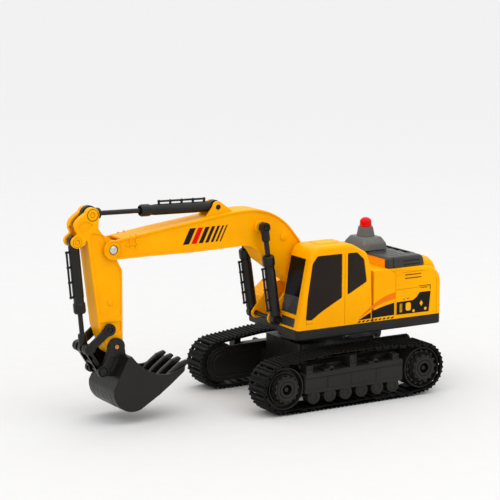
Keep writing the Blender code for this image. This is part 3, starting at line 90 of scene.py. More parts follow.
def add(tree, kind, feeds=None, **settings):
    """Adds a node with its settings; feeds are plain values or the outputs linked to its inputs."""
    node = tree.nodes.new("ShaderNode" + kind)
    for key, value in settings.items():
        setattr(node, key, value)
    for key, value in (feeds or {}).items():
        if isinstance(value, bpy.types.NodeSocket):
            tree.links.new(value, node.inputs[key])
        else:
            node.inputs[key].default_value = value
    return node


def blank(name):
    """A new material, with its node tree, its shader and a place on the object itself."""
    made = bpy.data.materials.new(name)
    made.use_nodes = True
    tree = made.node_tree
    return made, tree, tree.nodes["Principled BSDF"], add(tree, "TexCoord").outputs["Object"]


walls = bpy.data.worlds.new("studio_walls")
scene.world = walls
walls.use_nodes = True
walls.node_tree.nodes.clear()
height = add(walls.node_tree, "SeparateXYZ", {0: add(walls.node_tree, "TexCoord").outputs["Generated"]})
glow = add(walls.node_tree, "MapRange", {0: height.outputs["Z"], 1: -0.1, 2: 1.0, 3: 0.50, 4: 1.85})
shade = add(walls.node_tree, "Background", {"Color": linear("#F7F7F7"), "Strength": glow.outputs[0]})
add(walls.node_tree, "OutputWorld", {"Surface": shade.outputs[0]})

# Matt white card: an even pale surface whose fibres show only as a faint mottle.
card, tree, shader, place = blank("matt_white_card")
mottle = add(tree, "TexNoise", {"Vector": place, "Scale": 60.0, "Detail": 4.0})
tint = add(tree, "Mix", {0: mottle.outputs["Fac"], 6: linear("#D1D1D1"), 7: linear("#D5D5D5")},
           data_type="RGBA")
tree.links.new(tint.outputs[2], shader.inputs["Base Color"])
fibre = add(tree, "TexNoise", {"Vector": place, "Scale": 900.0, "Detail": 3.0})
tree.links.new(add(tree, "Bump", {"Height": fibre.outputs["Fac"], "Strength": 0.1, "Distance": 0.0002})
               .outputs[0], shader.inputs["Normal"])
shader.inputs["Roughness"].default_value = 0.85
shader.inputs["Specular IOR Level"].default_value = 0.25

sheet = bmesh.new()
bmesh.ops.create_grid(sheet, x_segments=24, y_segments=24, size=14.0)
floor_mesh = bpy.data.meshes.new("studio_floor")
sheet.to_mesh(floor_mesh)
sheet.free()
floor = bpy.data.objects.new("studio_floor", floor_mesh)
floor.location.z = -0.0002
floor_mesh.materials.append(card)
scene.collection.objects.link(floor)

# ---- Rubber track belts -----------------------------------------------------------------------
# Each track is one loop moulded in black rubber: two smooth edge bands, a plate with two cross bars
# on every link, and open windows between the plates. A row of small holes marks the pins.
GAUGE = 49.8
BELT_HALF = 12.2
TREAD_IN, TREAD_OUT = GAUGE - BELT_HALF, GAUGE + BELT_HALF
BAND = 2.2
BAR_HEIGHT = 1.1
LINK = 7.8
FRONT_AXLE = Vector((-65.4, 21.2))
REAR_AXLE = Vector((65.4, 22.6))
WHEEL = 17.4
MM = 0.001
SIDES = (("left", 1), ("right", -1))


def arc(centre, radius, start, end, steps):
    """Points on an arc between two angles in degrees, ends included."""
    turns = [math.radians(start + (end - start) * i / steps) for i in range(steps + 1)]
    return [Vector((centre[0] + radius * math.cos(t), centre[1] + radius * math.sin(t))) for t in turns]


def around(circles, steps=48):
    """The outline of a band stretched round (centre, radius) circles."""
    cloud = [p for centre, radius in circles for p in arc(centre, radius, 0, 360 - 360 / steps, steps - 1)]
    cloud.sort(key=lambda p: (round(p.x, 5), round(p.y, 5)))

    def chain(points):
        kept = []
        for p in points:
            while len(kept) > 1 and (kept[-1] - kept[-2]).cross(p - kept[-1]) <= 1e-7:
                kept.pop()
            kept.append(p)
        return kept[:-1]
    return chain(cloud) + chain(cloud[::-1])


def stock(mesh):
    """A bmesh as a loose object, its faces turned outwards."""
    bmesh.ops.recalc_face_normals(mesh, faces=mesh.faces)
    data = bpy.data.meshes.new("stock")
    mesh.to_mesh(data)
    mesh.free()
    made = bpy.data.objects.new("stock", data)
    scene.collection.objects.link(made)
    return made


def slab(outline, low, high, axis="X"):
    """A plate of the outline, from low to high along the axis."""
    put = {"X": lambda p, at: (at, p[0], p[1]), "Y": lambda p, at: (p[0], at, p[1]),
           "Z": lambda p, at: (p[0], p[1], at)}[axis]
    mesh = bmesh.new()
    ends = [[mesh.verts.new(put(p, at)) for p in outline] for at in (low, high)]
    mesh.faces.new(ends[0])
    mesh.faces.new(ends[1][::-1])
    for i in range(len(outline)):
        j = (i + 1) % len(outline)
        mesh.faces.new((ends[0][i], ends[0][j], ends[1][j], ends[1][i]))
    return stock(mesh)


def block(low, high):
    """A straight-sided bar between two corners."""
    return slab([(low[1], low[2]), (high[1], low[2]), (high[1], high[2]), (low[1], high[2])], low[0], high[0])


def pin(x0, x1, point, radius, steps=32):
    """A round bar along X through a (Y, Z) point."""
    return slab(arc(point, radius, 0, 360 - 360 / steps, steps - 1), min(x0, x1), max(x0, x1))


def flank(sign, a, b):
    """Two X values on one side of the toy, the lower one first."""
    return sorted((sign * a, sign * b))


def side_block(sign, a, b, low, high):
    """A straight-sided bar on one side of the toy, from X = a to b, between two (Y, Z) corners."""
    x0, x1 = flank(sign, a, b)
    return block((x0, *low), (x1, *high))


def turned(profile, centre, axis="X", steps=48):
    """A solid turned from (along, radius) points about an axis through centre."""
    mesh = bmesh.new()
    chain = [mesh.verts.new((radius, 0, along)) for along, radius in profile]
    edges = [mesh.edges.new(pair) for pair in zip(chain, chain[1:])]
    if profile[0][1] > 0:
        edges.append(mesh.edges.new((chain[-1], chain[0])))
    bmesh.ops.spin(mesh, geom=chain + edges, axis=(0, 0, 1), cent=(0, 0, 0), angle=math.tau, steps=steps,
                   use_merge=True)
    bmesh.ops.remove_doubles(mesh, verts=mesh.verts, dist=1e-4)
    tips = [v for v in mesh.verts if v.co.xy.length < 1e-4 and len(v.link_faces) > 3]
    bmesh.ops.dissolve_verts(mesh, verts=tips)
    turn = {"X": Matrix.Rotation(math.pi / 2, 4, "Y"), "Y": Matrix.Rotation(-math.pi / 2, 4, "X"),
            "Z": Matrix.Identity(4)}[axis]
    bmesh.ops.transform(mesh, verts=mesh.verts, matrix=Matrix.Translation(centre) @ turn)
    return stock(mesh)


def cut(shape, *tools):
    """The shape with each tool taken out of it."""
    for tool in tools:
        modifier = shape.modifiers.new("cut", "BOOLEAN")
        modifier.operation = "DIFFERENCE"
        modifier.solver = "EXACT"
        modifier.object = tool
        result = bpy.data.meshes.new_from_object(shape.evaluated_get(bpy.context.evaluated_depsgraph_get()))
        shape.modifiers.clear()
        shape.data = result
        bpy.data.objects.remove(tool, do_unlink=True)
    return shape


def together(shape, *others):
    """The shapes as one object, each still a closed form of its own."""
    mesh = bmesh.new()
    for each in (shape, *others):
        mesh.from_mesh(each.data)
        if each is not shape:
            bpy.data.objects.remove(each, do_unlink=True)
    mesh.to_mesh(shape.data)
    mesh.free()
    return shape


def mirrored(shape):
    """A copy of a shape on the other side of the plane X = 0."""
    mesh = bmesh.new()
    mesh.from_mesh(shape.data)
    bmesh.ops.scale(mesh, vec=(-1, 1, 1), verts=mesh.verts)
    bmesh.ops.reverse_faces(mesh, faces=mesh.faces)
    return stock(mesh)


CASING_JOINT = 28.1


def fitted(name, shape, look, body, stands_for=(), edge=0.3, rings=2):
    """Sets a finished shape in the frame, softens its edges as a mould does, and hangs it on its body."""
    mesh = bmesh.new()
    mesh.from_mesh(shape.data)
    bmesh.ops.remove_doubles(mesh, verts=mesh.verts, dist=0.01)
    bmesh.ops.dissolve_limit(mesh, angle_limit=math.radians(0.5), verts=mesh.verts, edges=mesh.edges)
    rounds = mesh.edges.layers.float.new("bevel_weight_edge")
    for each in mesh.edges:
        on_seam = (max(abs(v.co.x) for v in each.verts) < 0.05
                   or max(abs(v.co.y - CASING_JOINT) for v in each.verts) < 0.15)
        crisp = each.calc_face_angle(math.pi) > math.radians(32)
        each[rounds] = 1.0 if crisp and not on_seam else 0.0
        each.smooth = not (crisp and on_seam)
    for each in mesh.faces:
        each.smooth = True
    bmesh.ops.transform(mesh, verts=mesh.verts,
                        matrix=Matrix.Translation((0, SWING_Y, 0)) @ Matrix.Scale(MM, 4))
    mesh.to_mesh(shape.data)
    mesh.free()
    shape.name = name
    shape.data.name = name
    shape.data.materials.clear()
    shape.data.materials.append(look)
    if edge:
        rounding = shape.modifiers.new("moulded_edges", "BEVEL")
        rounding.width = edge * MM
        rounding.segments = rings
        rounding.limit_method = "WEIGHT"
        rounding.use_clamp_overlap = False
        rounding.harden_normals = True
        rounding.miter_outer = "MITER_ARC"
    else:
        shape.data.set_sharp_from_angle(angle=math.radians(32))
    if stands_for:
        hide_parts(*stands_for)
    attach(shape, body)
    return shape


def moulded(name, tone, shade, roughness, grain, relief, ior=1.53, sheen=0.22):
    """A plastic or rubber as it leaves its mould: a slow drift between two tones where the melt flowed,
    the fine pits of a spark-eroded mould, and a painted highlight that lightens its colour along sharp edges."""
    made, tree, shader, place = blank(name)
    flow = add(tree, "TexNoise", {"Vector": place, "Scale": 30.0, "Detail": 3.0, "Roughness": 0.6})
    drift = add(tree, "MapRange", {0: flow.outputs["Fac"], 1: 0.35, 2: 0.65, 3: 0.0, 4: 1.0})
    tone_mix = add(tree, "Mix", {0: drift.outputs[0], 6: linear(shade), 7: linear(tone)}, data_type="RGBA")
    # Painted highlight: the base colour is lightened towards sharp edges, as if light caught them.
    edge_highlight_mask = add(tree, "MapRange", {0: add(tree, "NewGeometry").outputs["Pointiness"], 1: 0.52, 2: 0.62,
                                  3: 0.0, 4: 0.06})
    highlight_tone = [min(1.0, 1.6 * part) for part in linear(tone)[:3]] + [1.0]
    painted_edge_highlight = add(tree, "Mix", {0: edge_highlight_mask.outputs[0], 6: tone_mix.outputs[2], 7: highlight_tone}, data_type="RGBA")
    tree.links.new(painted_edge_highlight.outputs[2], shader.inputs["Base Color"])
    pits = add(tree, "TexNoise", {"Vector": place, "Scale": 1000.0 / grain, "Detail": 2.0})
    bump = add(tree, "Bump", {"Height": pits.outputs["Fac"], "Strength": relief, "Distance": 0.0001})
    tree.links.new(bump.outputs[0], shader.inputs["Normal"])
    handled = add(tree, "TexNoise", {"Vector": place, "Scale": 140.0, "Detail": 4.0})
    gloss = add(tree, "MapRange", {0: handled.outputs["Fac"], 1: 0.3, 2: 0.7, 3: roughness - 0.05,
                                   4: roughness + 0.06})
    tree.links.new(gloss.outputs[0], shader.inputs["Roughness"])
    shader.inputs["IOR"].default_value = ior
    shader.inputs["Specular IOR Level"].default_value = sheen
    return made


# Black moulded rubber: IOR 1.52, dull, with a painted highlight that greys it slightly along the bars' edges.
moulded_rubber = moulded("moulded_black_rubber", "#0C0C0B", "#090908", 0.56, 0.5, 0.5, 1.52, 0.11)


def track_loop(offset):
    """The belt's loop, offset outwards from the face that runs on the wheels."""
    ground = BAND + BAR_HEIGHT
    return around([(FRONT_AXLE, WHEEL + offset), (REAR_AXLE, WHEEL + offset),
                   ((-27.0, 42.6 - ground), ground + offset), ((27.0, 42.6 - ground), ground + offset),
                   ((-50.0, 2 * ground), ground + offset), ((50.0, 2 * ground), ground + offset)], 96)


def stations(loop, count, start=0.0):
    """Evenly spaced points along a closed loop, each with the way along it and the way out of it."""
    lengths = [(loop[(i + 1) % len(loop)] - loop[i]).length for i in range(len(loop))]
    total = sum(lengths)
    found = []
    for k in range(count):
        want = total * ((k + start) % count) / count
        i = 0
        while want > lengths[i]:
            want -= lengths[i]
            i += 1
        along = (loop[(i + 1) % len(loop)] - loop[i]).normalized()
        found.append((loop[i] + along * want, along, Vector((along.y, -along.x))))
    return found


pitch_line = track_loop(BAND)
LINKS = round(sum((pitch_line[i] - pitch_line[i - 1]).length for i in range(len(pitch_line))) / LINK)
EDGE_BAND = 2.6

for side, sign in SIDES:
    rails = []
    for near, far in ((TREAD_IN, TREAD_IN + EDGE_BAND), (TREAD_OUT - EDGE_BAND, TREAD_OUT)):
        rail = slab([stop[0] for stop in stations(track_loop(BAND), LINKS * 4)], *flank(sign, near, far))
        rails.append(cut(rail, slab(track_loop(0.0), *flank(sign, near - 1, far + 1))))
    holes = [pin(sign * (TREAD_OUT - 1.4), sign * (TREAD_OUT + 1), point - way_out * BAND * 0.5, 0.7, 10)
             for point, _, way_out in stations(pitch_line, LINKS, 0.5)]
    rails[1] = cut(rails[1], together(*holes))
    plates = []
    for point, along, way_out in stations(pitch_line, LINKS):
        def at(u, n):
            return point + along * u + way_out * n
        plates.append(slab([at(-2.7, -BAND), at(2.7, -BAND), at(2.7, -0.1), at(-2.7, -0.1)],
                           *flank(sign, TREAD_IN + EDGE_BAND - 0.6, TREAD_OUT - EDGE_BAND + 0.6)))
        for middle in (-1.95, 1.95):
            plates.append(slab([at(middle - 1.15, -0.4), at(middle + 1.15, -0.4), at(middle + 0.6, BAR_HEIGHT),
                                at(middle - 0.6, BAR_HEIGHT)], *flank(sign, TREAD_IN + 0.5, TREAD_OUT - 0.5)))
    fitted("rubber_belt_" + side, together(*rails, *plates), moulded_rubber, "undercarriage",
           ("track_belt_" + side,), edge=0.22, rings=1)

# ---- Track wheels -----------------------------------------------------------------------------
# Idler in front, driven sprocket behind, both dark grey ABS: a drum with stepped rings sunk in its
# face and a toothed hub cap pressed on, which stands just proud of the belt.
# Dark grey ABS: satin, warm in tone, with enough sheen to show every ring.
moulded_dark_abs = moulded("moulded_dark_grey_abs", "#272623", "#21201D", 0.40, 0.45, 0.30, 1.53, 0.14)
HUB = 11.0
HUB_FACE = TREAD_OUT + 1.8


def cogged(point, radius, depth, teeth, share=0.5):
    """An outline with square teeth round it."""
    step = 360 / teeth
    outline = []
    for k in range(teeth):
        outline += arc(point, radius, k * step, (k + share * 0.86) * step, 3)
        outline += arc(point, radius - depth, (k + share) * step, (k + 0.96) * step, 2)
    return outline


for side, sign in SIDES:
    for kind, axle in (("idler", FRONT_AXLE), ("sprocket", REAR_AXLE)):
        back = sign * (TREAD_IN + 3.4)

        def deep(depth):
            return sign * (TREAD_OUT - 2.0 - depth)

        def proud(drop):
            return sign * (HUB_FACE - drop)
        drum = turned([(back, 0), (back, 16.0), (deep(17.0), 16.9), (deep(0), 16.9), (deep(0), 15.9),
                       (deep(5.0), 15.6), (deep(5.0), 13.6), (deep(2.0), 13.4), (deep(2.0), 12.4),
                       (deep(4.2), 12.2), (deep(4.2), 11.2), (deep(1.0), 11.0), (deep(1.0), 0)], (0, *axle))
        cap = slab(cogged(axle, HUB, 1.1, 14 if kind == "idler" else 12), *sorted((deep(1.6), proud(0.5))))
        crown = turned([(deep(1.0), 0), (deep(1.0), 9.4), (proud(0.3), 9.4), (proud(0), 9.0), (proud(0), 7.2),
                        (proud(0.5), 7.0), (proud(0.5), 6.2), (proud(0.1), 6.0), (proud(0.1), 0)], (0, *axle))
        for shell in (drum, cap, crown):
            cut(shell, pin(deep(3.4), proud(-1), axle, 4.2))
        stub = turned([(deep(4.0), 0), (deep(4.0), 1.9), (proud(1.6), 1.9), (proud(1.2), 1.4), (proud(1.2), 0)],
                      (0, *axle), steps=24)
        lugs = []
        if kind == "sprocket":
            for k in range(16):
                way = Matrix.Rotation(math.radians(22.5 * k), 2) @ Vector((1, 0))
                lugs.append(pin(deep(5.4), deep(0.8), axle + way * 13.5, 1.2, 14))
        fitted(kind + "_wheel_" + side, together(drum, cap, crown, stub, *lugs), moulded_dark_abs,
               kind + "_" + side, (kind + "_" + side,), edge=0.25)

# ---- Track frames and covers ------------------------------------------------------------------
# Inside each loop a black ABS frame with a long oval plate carries the wheels; a dark grey cover
# is clipped to its outside, with posts that hold the belt up and road rollers moulded along its foot.
moulded_black_abs = moulded("moulded_black_abs", "#171614", "#12110F", 0.32, 0.45, 0.25, 1.53, 0.24)


def rounded(corners, steps=6):
    """An outline from (point, radius) corners."""
    outline = []
    for i, (corner, radius) in enumerate(corners):
        corner = Vector(corner)
        if radius <= 0:
            outline.append(corner)
            continue
        before = (Vector(corners[i - 1][0]) - corner).normalized()
        after = (Vector(corners[(i + 1) % len(corners)][0]) - corner).normalized()
        half = before.angle(after) / 2
        reach = radius / math.tan(half)
        centre = corner + (before + after).normalized() * radius / math.sin(half)
        first, last = corner + before * reach - centre, corner + after * reach - centre
        sweep = first.angle_signed(last)
        outline += [centre + Matrix.Rotation(-sweep * k / steps, 2) @ first for k in range(steps + 1)]
    return outline


def oblong(low, high, radius=0, steps=6):
    """An upright rectangle between two corners, with rounded corners of its own where asked."""
    return rounded([(corner, radius) for corner in (low, (high[0], low[1]), high, (low[0], high[1]))], steps)


def shrunk(outline, amount):
    """An anticlockwise outline moved inwards by an amount, or outwards by a negative one."""
    inner = []
    for i, here in enumerate(outline):
        before = (here - outline[i - 1]).normalized()
        after = (outline[(i + 1) % len(outline)] - here).normalized()
        side_way = Vector((before.y, -before.x))
        normal = (side_way + Vector((after.y, -after.x))).normalized()
        inner.append(here - normal * amount / max(0.5, normal.dot(side_way)))
    return inner


COVER_Y = (-47.2, 46.4)
POSTS = (-42.7, -1.7, 39.3)

for side, sign in SIDES:
    def span(a, b):
        return flank(sign, TREAD_IN + a, TREAD_IN + b)
    oval = around([(FRONT_AXLE, 14.5), (REAR_AXLE, 14.5)])
    plate = slab(oval, *span(0, 2.6))
    for inset, inner, depth in ((1.4, 3.0, 0.7), (5.2, 6.4, 0.5)):
        cut(plate, cut(slab(shrunk(oval, inset), *span(-1, depth)),
                       slab(shrunk(oval, inner), *span(-2, depth + 1))))
    beam = slab(oblong((-44, 14), (44, 35), 6), *span(2.2, 13.4))
    axle = pin(sign * (TREAD_IN + 1), sign * (TREAD_OUT - 5), FRONT_AXLE, 2.0)
    cut(plate, pin(sign * (TREAD_IN - 1), sign * (TREAD_IN + 4), REAR_AXLE, 2.5))
    fitted("frame_beam_" + side, together(plate, beam, axle), moulded_black_abs, "undercarriage",
           ("track_frame_" + side,), edge=0.35)

    near, far = TREAD_OUT - 10.7, TREAD_OUT - 1.0

    panel = slab(rounded([((COVER_Y[0], 14.4), 2), ((COVER_Y[1], 14.4), 2), ((COVER_Y[1], 32.6), 2),
                          ((COVER_Y[0], 30.6), 2)]), *flank(sign, near, far - 0.8))
    brow = slab(rounded([((COVER_Y[0] + 0.6, 26.8), 0.6), ((COVER_Y[1] - 0.6, 28.2), 0.6),
                         ((COVER_Y[1] - 0.6, 32.2), 1.4), ((COVER_Y[0] + 0.6, 30.2), 1.4)]),
                *flank(sign, near, far))
    field = slab(rounded([((COVER_Y[0] + 0.6, 17.6), 0.8), ((COVER_Y[1] - 0.6, 17.6), 0.8),
                          ((COVER_Y[1] - 0.6, 27.6), 0.8), ((COVER_Y[0] + 0.6, 26.2), 0.8)]),
                 *flank(sign, near, far - 0.35))
    for y in (-26.0, -4.0, 20.0):
        cut(field, side_block(sign, far - 0.7, far, (y, 16.0), (y + 0.3, 29.0)))
    details = [panel, brow, field]
    for k, y in enumerate(POSTS):
        top = 41.4 if k == 1 else 36.9
        post = side_block(sign, near, far - 0.6, (y - 3, 28), (y + 3, top))
        cut(post, side_block(sign, far - 1.4, far, (y - 2, 33.2), (y + 2, top - 1.0)))
        details += [post, pin(sign * near, sign * (far - 0.9), (y, 35.2), 1.5, 20)]
    for y, z, half in ((-24.0, 32.4, 4.5), (18.0, 33.4, 4.5)):
        details += [side_block(sign, near, far - 1.2, (y - half, z - 3), (y + half, z)),
                    pin(sign * near, sign * (far - 1.2), (y + half - 2.2, z), 2.2, 24)]
    for k in range(6):
        y = COVER_Y[0] + 9.0 + k * (COVER_Y[1] - COVER_Y[0] - 18.0) / 5
        details += [pin(sign * near, sign * (far - 1.4), (y, 11.1), 5.8, 36),
                    pin(sign * near, sign * (far - 0.9), (y, 11.1), 3.9, 32),
                    slab([(y - 6.2, 15.5), (y - 3.6, 9.6), (y + 3.6, 9.6), (y + 6.2, 15.5)],
                         *flank(sign, near, far - 2.2))]
        cut(details[-2], pin(sign * (far - 1.6), sign * far, (y, 11.1), 2.5, 24))
    fitted("track_side_cover_" + side, together(*details), moulded_dark_abs, "undercarriage",
           ("track_cover_" + side,), edge=0.3)

# ---- Chassis ----------------------------------------------------------------------------------
# The black ABS chassis box between the tracks holds the battery pack; two drive gearboxes are
# screwed on behind it, and a turntable ring on top carries the upper works.


def dressed(name, look, edge=0.3):
    """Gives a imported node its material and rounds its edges."""
    node = bpy.data.objects[name]
    node.data.materials.clear()
    node.data.materials.append(look)
    weld = node.modifiers.new("weld", "WELD")
    weld.merge_threshold = 0.00001
    flats = node.modifiers.new("flats", "DECIMATE")
    flats.decimate_type = "DISSOLVE"
    flats.angle_limit = math.radians(0.5)
    if edge:
        rounding = node.modifiers.new("moulded_edges", "BEVEL")
        rounding.width = edge * MM
        rounding.segments = 2
        rounding.limit_method = "ANGLE"
        rounding.angle_limit = math.radians(32)
        rounding.harden_normals = True
    return node


# Mid grey ABS, the part that shows least: satin, cool in tone.
moulded_mid_abs = moulded("moulded_mid_grey_abs", "#62625F", "#585856", 0.30, 0.45, 0.22)
# PVC shrink sleeve on the cells: glossy, pulled tight in faint waves.
sleeve = moulded("pvc_shrink_sleeve", "#3E6FB4", "#315E9F", 0.22, 3.0, 0.25, 1.54)
# Solder-masked glass-epoxy board: flat green with a woven glass mottle.
board_mask = moulded("solder_masked_board", "#1F7A3C", "#1A6B34", 0.42, 0.8, 0.3, 1.55)
# Nickel-plated steel, drawn and ground: bright, with fine scratches along it.
plated_steel, tree, shader, place = blank("nickel_plated_steel")
drawn = add(tree, "Mapping", {"Vector": place, "Scale": (90.0, 1400.0, 1400.0)})
scratch = add(tree, "TexNoise", {"Vector": drawn.outputs[0], "Scale": 1.0, "Detail": 5.0})
tone = add(tree, "Mix", {0: scratch.outputs["Fac"], 6: linear("#B9B8B4"), 7: linear("#E4E3DF")},
           data_type="RGBA")
tree.links.new(tone.outputs[2], shader.inputs["Base Color"])
gloss = add(tree, "MapRange", {0: scratch.outputs["Fac"], 1: 0.3, 2: 0.7, 3: 0.18, 4: 0.34})
tree.links.new(gloss.outputs[0], shader.inputs["Roughness"])
tree.links.new(add(tree, "Bump", {"Height": scratch.outputs["Fac"], "Strength": 0.12, "Distance": 0.00005})
               .outputs[0], shader.inputs["Normal"])
shader.inputs["Metallic"].default_value = 1.0

dressed("chassis_hull", moulded_black_abs, 0.6)
dressed("battery_cover", moulded_black_abs)
dressed("battery_pack", sleeve, 0)
dressed("power_switch", moulded_mid_abs, 0.2)
dressed("turntable_ring", moulded_mid_abs)
dressed("swing_spindle", moulded_mid_abs)
dressed("swing_gearbox", moulded_mid_abs)
dressed("circuit_board", board_mask, 0.15)
for side in ("left", "right"):
    dressed("drive_gearbox_" + side, moulded_black_abs, 0.5)
    dressed("sprocket_axle_" + side, plated_steel, 0.2)

# ---- House deck -------------------------------------------------------------------------------
# The dark grey skirt of the upper works is a shallow ABS tray with rounded corners. The yellow
# casings stand in it and the spindle clips into its floor.
HALF = 44.7
DECK = (53.4, 61.4)
CAB_IN = 13.7


def softened(shape, chosen, width, steps=5):
    """Rounds the edges that a test on their two ends picks, to a radius."""
    mesh = bmesh.new()
    mesh.from_mesh(shape.data)
    picked = [e for e in mesh.edges if chosen(e.verts[0].co, e.verts[1].co)]
    bmesh.ops.bevel(mesh, geom=picked, offset=width, segments=steps, profile=0.5, affect="EDGES",
                    clamp_overlap=True)
    mesh.to_mesh(shape.data)
    mesh.free()
    return shape


tray = slab(rounded([((-HALF, -38), 5), ((CAB_IN, -38), 0), ((CAB_IN, -44), 0), ((HALF, -44), 5.5),
                     ((HALF, 95.2), 3.6), ((-HALF, 95.2), 3.6)]), *DECK, "Z")
softened(tray, lambda a, b: max(a.z, b.z) < DECK[0] + 0.1, 1.4)
cut(tray, slab(rounded([((-42.9, -36.2), 3.2), ((42.9, -36.2), 3.2), ((42.9, 93.4), 2), ((-42.9, 93.4), 2)]),
               DECK[0] + 2.4, DECK[1] + 1, "Z"),
    turned([(52, 0), (52, 9.3), (57, 9.3), (57, 0)], (0, 0, 0), "Z"))
fitted("deck_tray", tray, moulded_dark_abs, "house", ("house_deck",), edge=0.4)

# ---- Body shell -------------------------------------------------------------------------------
# The rear casing is one yellow ABS moulding with a rounded back, scored panel lines and an engine
# block under the hood. Its side graphics are printed film, laid on after moulding.
# Yellow ABS: glossy and strongly coloured, deep orange where it only lights itself.
moulded_yellow_abs = moulded("moulded_yellow_abs", "#F8AA00", "#F4A200", 0.34, 0.45, 0.16, 1.53, 0.045)
BASE = 61.7
BODY_TOP = 103.0
BODY_FRONT = 28.05
BODY_REAR = 95.2

shell = slab(rounded([((BODY_FRONT, BASE), 0), ((BODY_REAR, BASE), 0), ((BODY_REAR, BODY_TOP), 15.5),
                      ((BODY_FRONT, BODY_TOP), 0)], 12), -HALF, HALF)
softened(shell, lambda a, b: abs(a.x - b.x) < 0.1 and abs(a.x) > HALF - 0.1 and min(a.y, b.y) > 78
         and max(a.z, b.z) > BASE + 0.1, 3.6, 6)
softened(shell, lambda a, b: abs(a.x - b.x) < 0.1 and abs(a.x) > HALF - 0.1 and min(a.z, b.z) > BODY_TOP - 0.1
         and max(a.y, b.y) < 81, 2.6, 6)
cut(shell, slab(rounded([((30.1, 60), 0), ((92.0, 60), 0), ((92.0, 99.8), 12), ((30.1, 99.8), 0)]),
                -41.5, 41.5))
hump = slab(rounded([((79.8, 88.5), 0), ((95.0, 88.5), 0), ((95.0, 110.0), 14.9), ((79.8, 110.0), 0)], 12),
            -41.0, 41.0)
softened(hump, lambda a, b: abs(a.x - b.x) < 0.1 and abs(a.x) > 40 and max(a.z, b.z) > 89
         and max(a.y, b.y) > 80, 7.5, 8)
SCORE = 0.28
lines = []
for sign in (1, -1):
    for low, high in (((49.3, BASE + 3), (49.3 + SCORE, 97.5)), ((49.9, 85.4), (84.0, 85.4 + SCORE)),
                      ((89.9, BASE - 1), (89.9 + SCORE, 92.0)), ((56.0, 99.0), (78.0, 99.0 + SCORE))):
        lines.append(side_block(sign, HALF - 0.3, HALF + 1, low, high))
    lines.append(slab(arc((45.3, 97.5), 4.4, 0, 80, 8) + arc((45.3, 97.5), 4.4 - SCORE, 80, 0, 8),
                      *flank(sign, HALF - 0.3, HALF + 1)))
cut(shell, *lines)
engine_block = block((-40.7, 45.0, 101), (36.7, 73.5, 110))
fitted("rear_casing", together(shell, engine_block, hump), moulded_yellow_abs, "house",
       ("body_shell",), edge=0.15)

# Printed vinyl film: thin ink under a satin varnish, its edge just thick enough to catch the light.
FILM = 0.09
black_film = moulded("printed_black_film", "#1D1814", "#181410", 0.34, 0.6, 0.10, 1.5, 0.08)
orange_film = moulded("printed_orange_film", "#EB7A02", "#E57202", 0.34, 0.6, 0.10, 1.5, 0.08)
yellow_film = moulded("printed_yellow_film", "#FBB508", "#F6AC02", 0.34, 0.6, 0.10, 1.5, 0.08)
red_film = moulded("printed_red_film", "#DC0505", "#CE0404", 0.32, 0.6, 0.10, 1.5, 0.08)


def film(name, outlines, look, body, face):
    """Printed shapes lying on the face X = face, on whichever side of the toy that is."""
    sign = 1 if face > 0 else -1
    patches = [slab(outline, *flank(sign, abs(face) + 0.01, abs(face) + FILM)) for outline in outlines]
    return fitted(name, together(*patches), look, body, edge=0)


def points(*pairs):
    """Plain corners of an outline."""
    return [Vector(each) for each in pairs]


def run(*pairs, steps=4):
    """A smooth edge through points, from the first to the last."""
    smooth = []
    through = points(*pairs)
    ends = [2 * through[0] - through[1], *through, 2 * through[-1] - through[-2]]
    for i in range(1, len(ends) - 2):
        a, b, c, d = ends[i - 1:i + 3]
        for k in range(steps):
            t = k / steps
            smooth.append(0.5 * (2 * b + (c - a) * t + (2 * a - 5 * b + 4 * c - d) * t * t
                                 + (3 * b - a - 3 * c + d) * t * t * t))
    smooth.append(through[-1])
    return smooth


# The left flank has room for the whole sweep; the right one starts behind the tank. Each entry is the
# sweep's upper edge, its lower edge, the small dart or none, the long dart and the stripe's start.
PRINTS = {
    "left": (((14.0, 66.6), (26.6, 75.4), (38, 81.2), (49, 84.0)),
             ((49, 78.4), (38, 76.6), (27, 72.6), (14.0, 66.0)),
             ((25.2, 69.9), (20.0, 67.6), (13.0, 64.4)), 26.4, 12.5, 9),
    "right": (((30.5, 77.2), (38, 81.2), (49, 84.0)), ((49, 78.4), (40, 77.0), (30.5, 73.6)),
              None, 30.8, 29.0, 5)}
for side, sign in SIDES:
    upper, lower, dart, dart_end, stripe_start, dashes = PRINTS[side]
    sweep = run(*upper, steps=6) + run(*lower, steps=6)
    film("orange_sweep_" + side, [sweep], orange_film, "house", sign * HALF)
    prints = [run(*dart) + points((25.2, 64.8))] if dart else []
    prints.append(run((48.0, 75.4), (38.0, 73.6), (dart_end, 70.7)) + points((dart_end, 64.9), (48.2, 65.2)))
    prints.append(points((50.4, 64.9), (82.4, 64.6), (84.2, 81.5), (73.2, 81.5), (70.4, 78.0), (66.7, 75.6),
                         (50.4, 75.3)))
    prints += [oblong(low, high) for low, high in (
        ((58.6, 96.7), (74.4, 97.4)), ((58.6, 93.9), (74.6, 94.6)), ((72.4, 86.4), (83.4, 86.9)),
        ((74.0, 84.8), (81.0, 85.2)), ((83.4, 82.8), (84.0, 86.9)), ((56.6, 77.0), (58.6, 77.5)),
        ((60.6, 77.2), (62.6, 77.7)))]
    for k in range(dashes):
        y = stripe_start + k * 4.0
        prints.append([(y, 62.5), (y + 2.2, 62.5), (y + 3.4, 63.8), (y + 1.2, 63.8)])
    film("black_print_" + side, prints, black_film, "house", sign * HALF)
    marks = [oblong((53.6, 66.6), (54.3, 73.8)), oblong((55.2, 66.6), (55.7, 73.8)),
             oblong((59.4, 67.4), (64.4, 74.0), 1.4, 4), arc((67.2, 66.6), 1.2, 0, 330, 11),
             arc((79.0, 67.4), 1.3, 0, 330, 11), points((73.2, 72.2), (74.8, 69.8), (76.4, 72.2), (74.8, 74.6))]
    film("yellow_print_" + side, marks, yellow_film, "house", sign * (HALF + FILM))

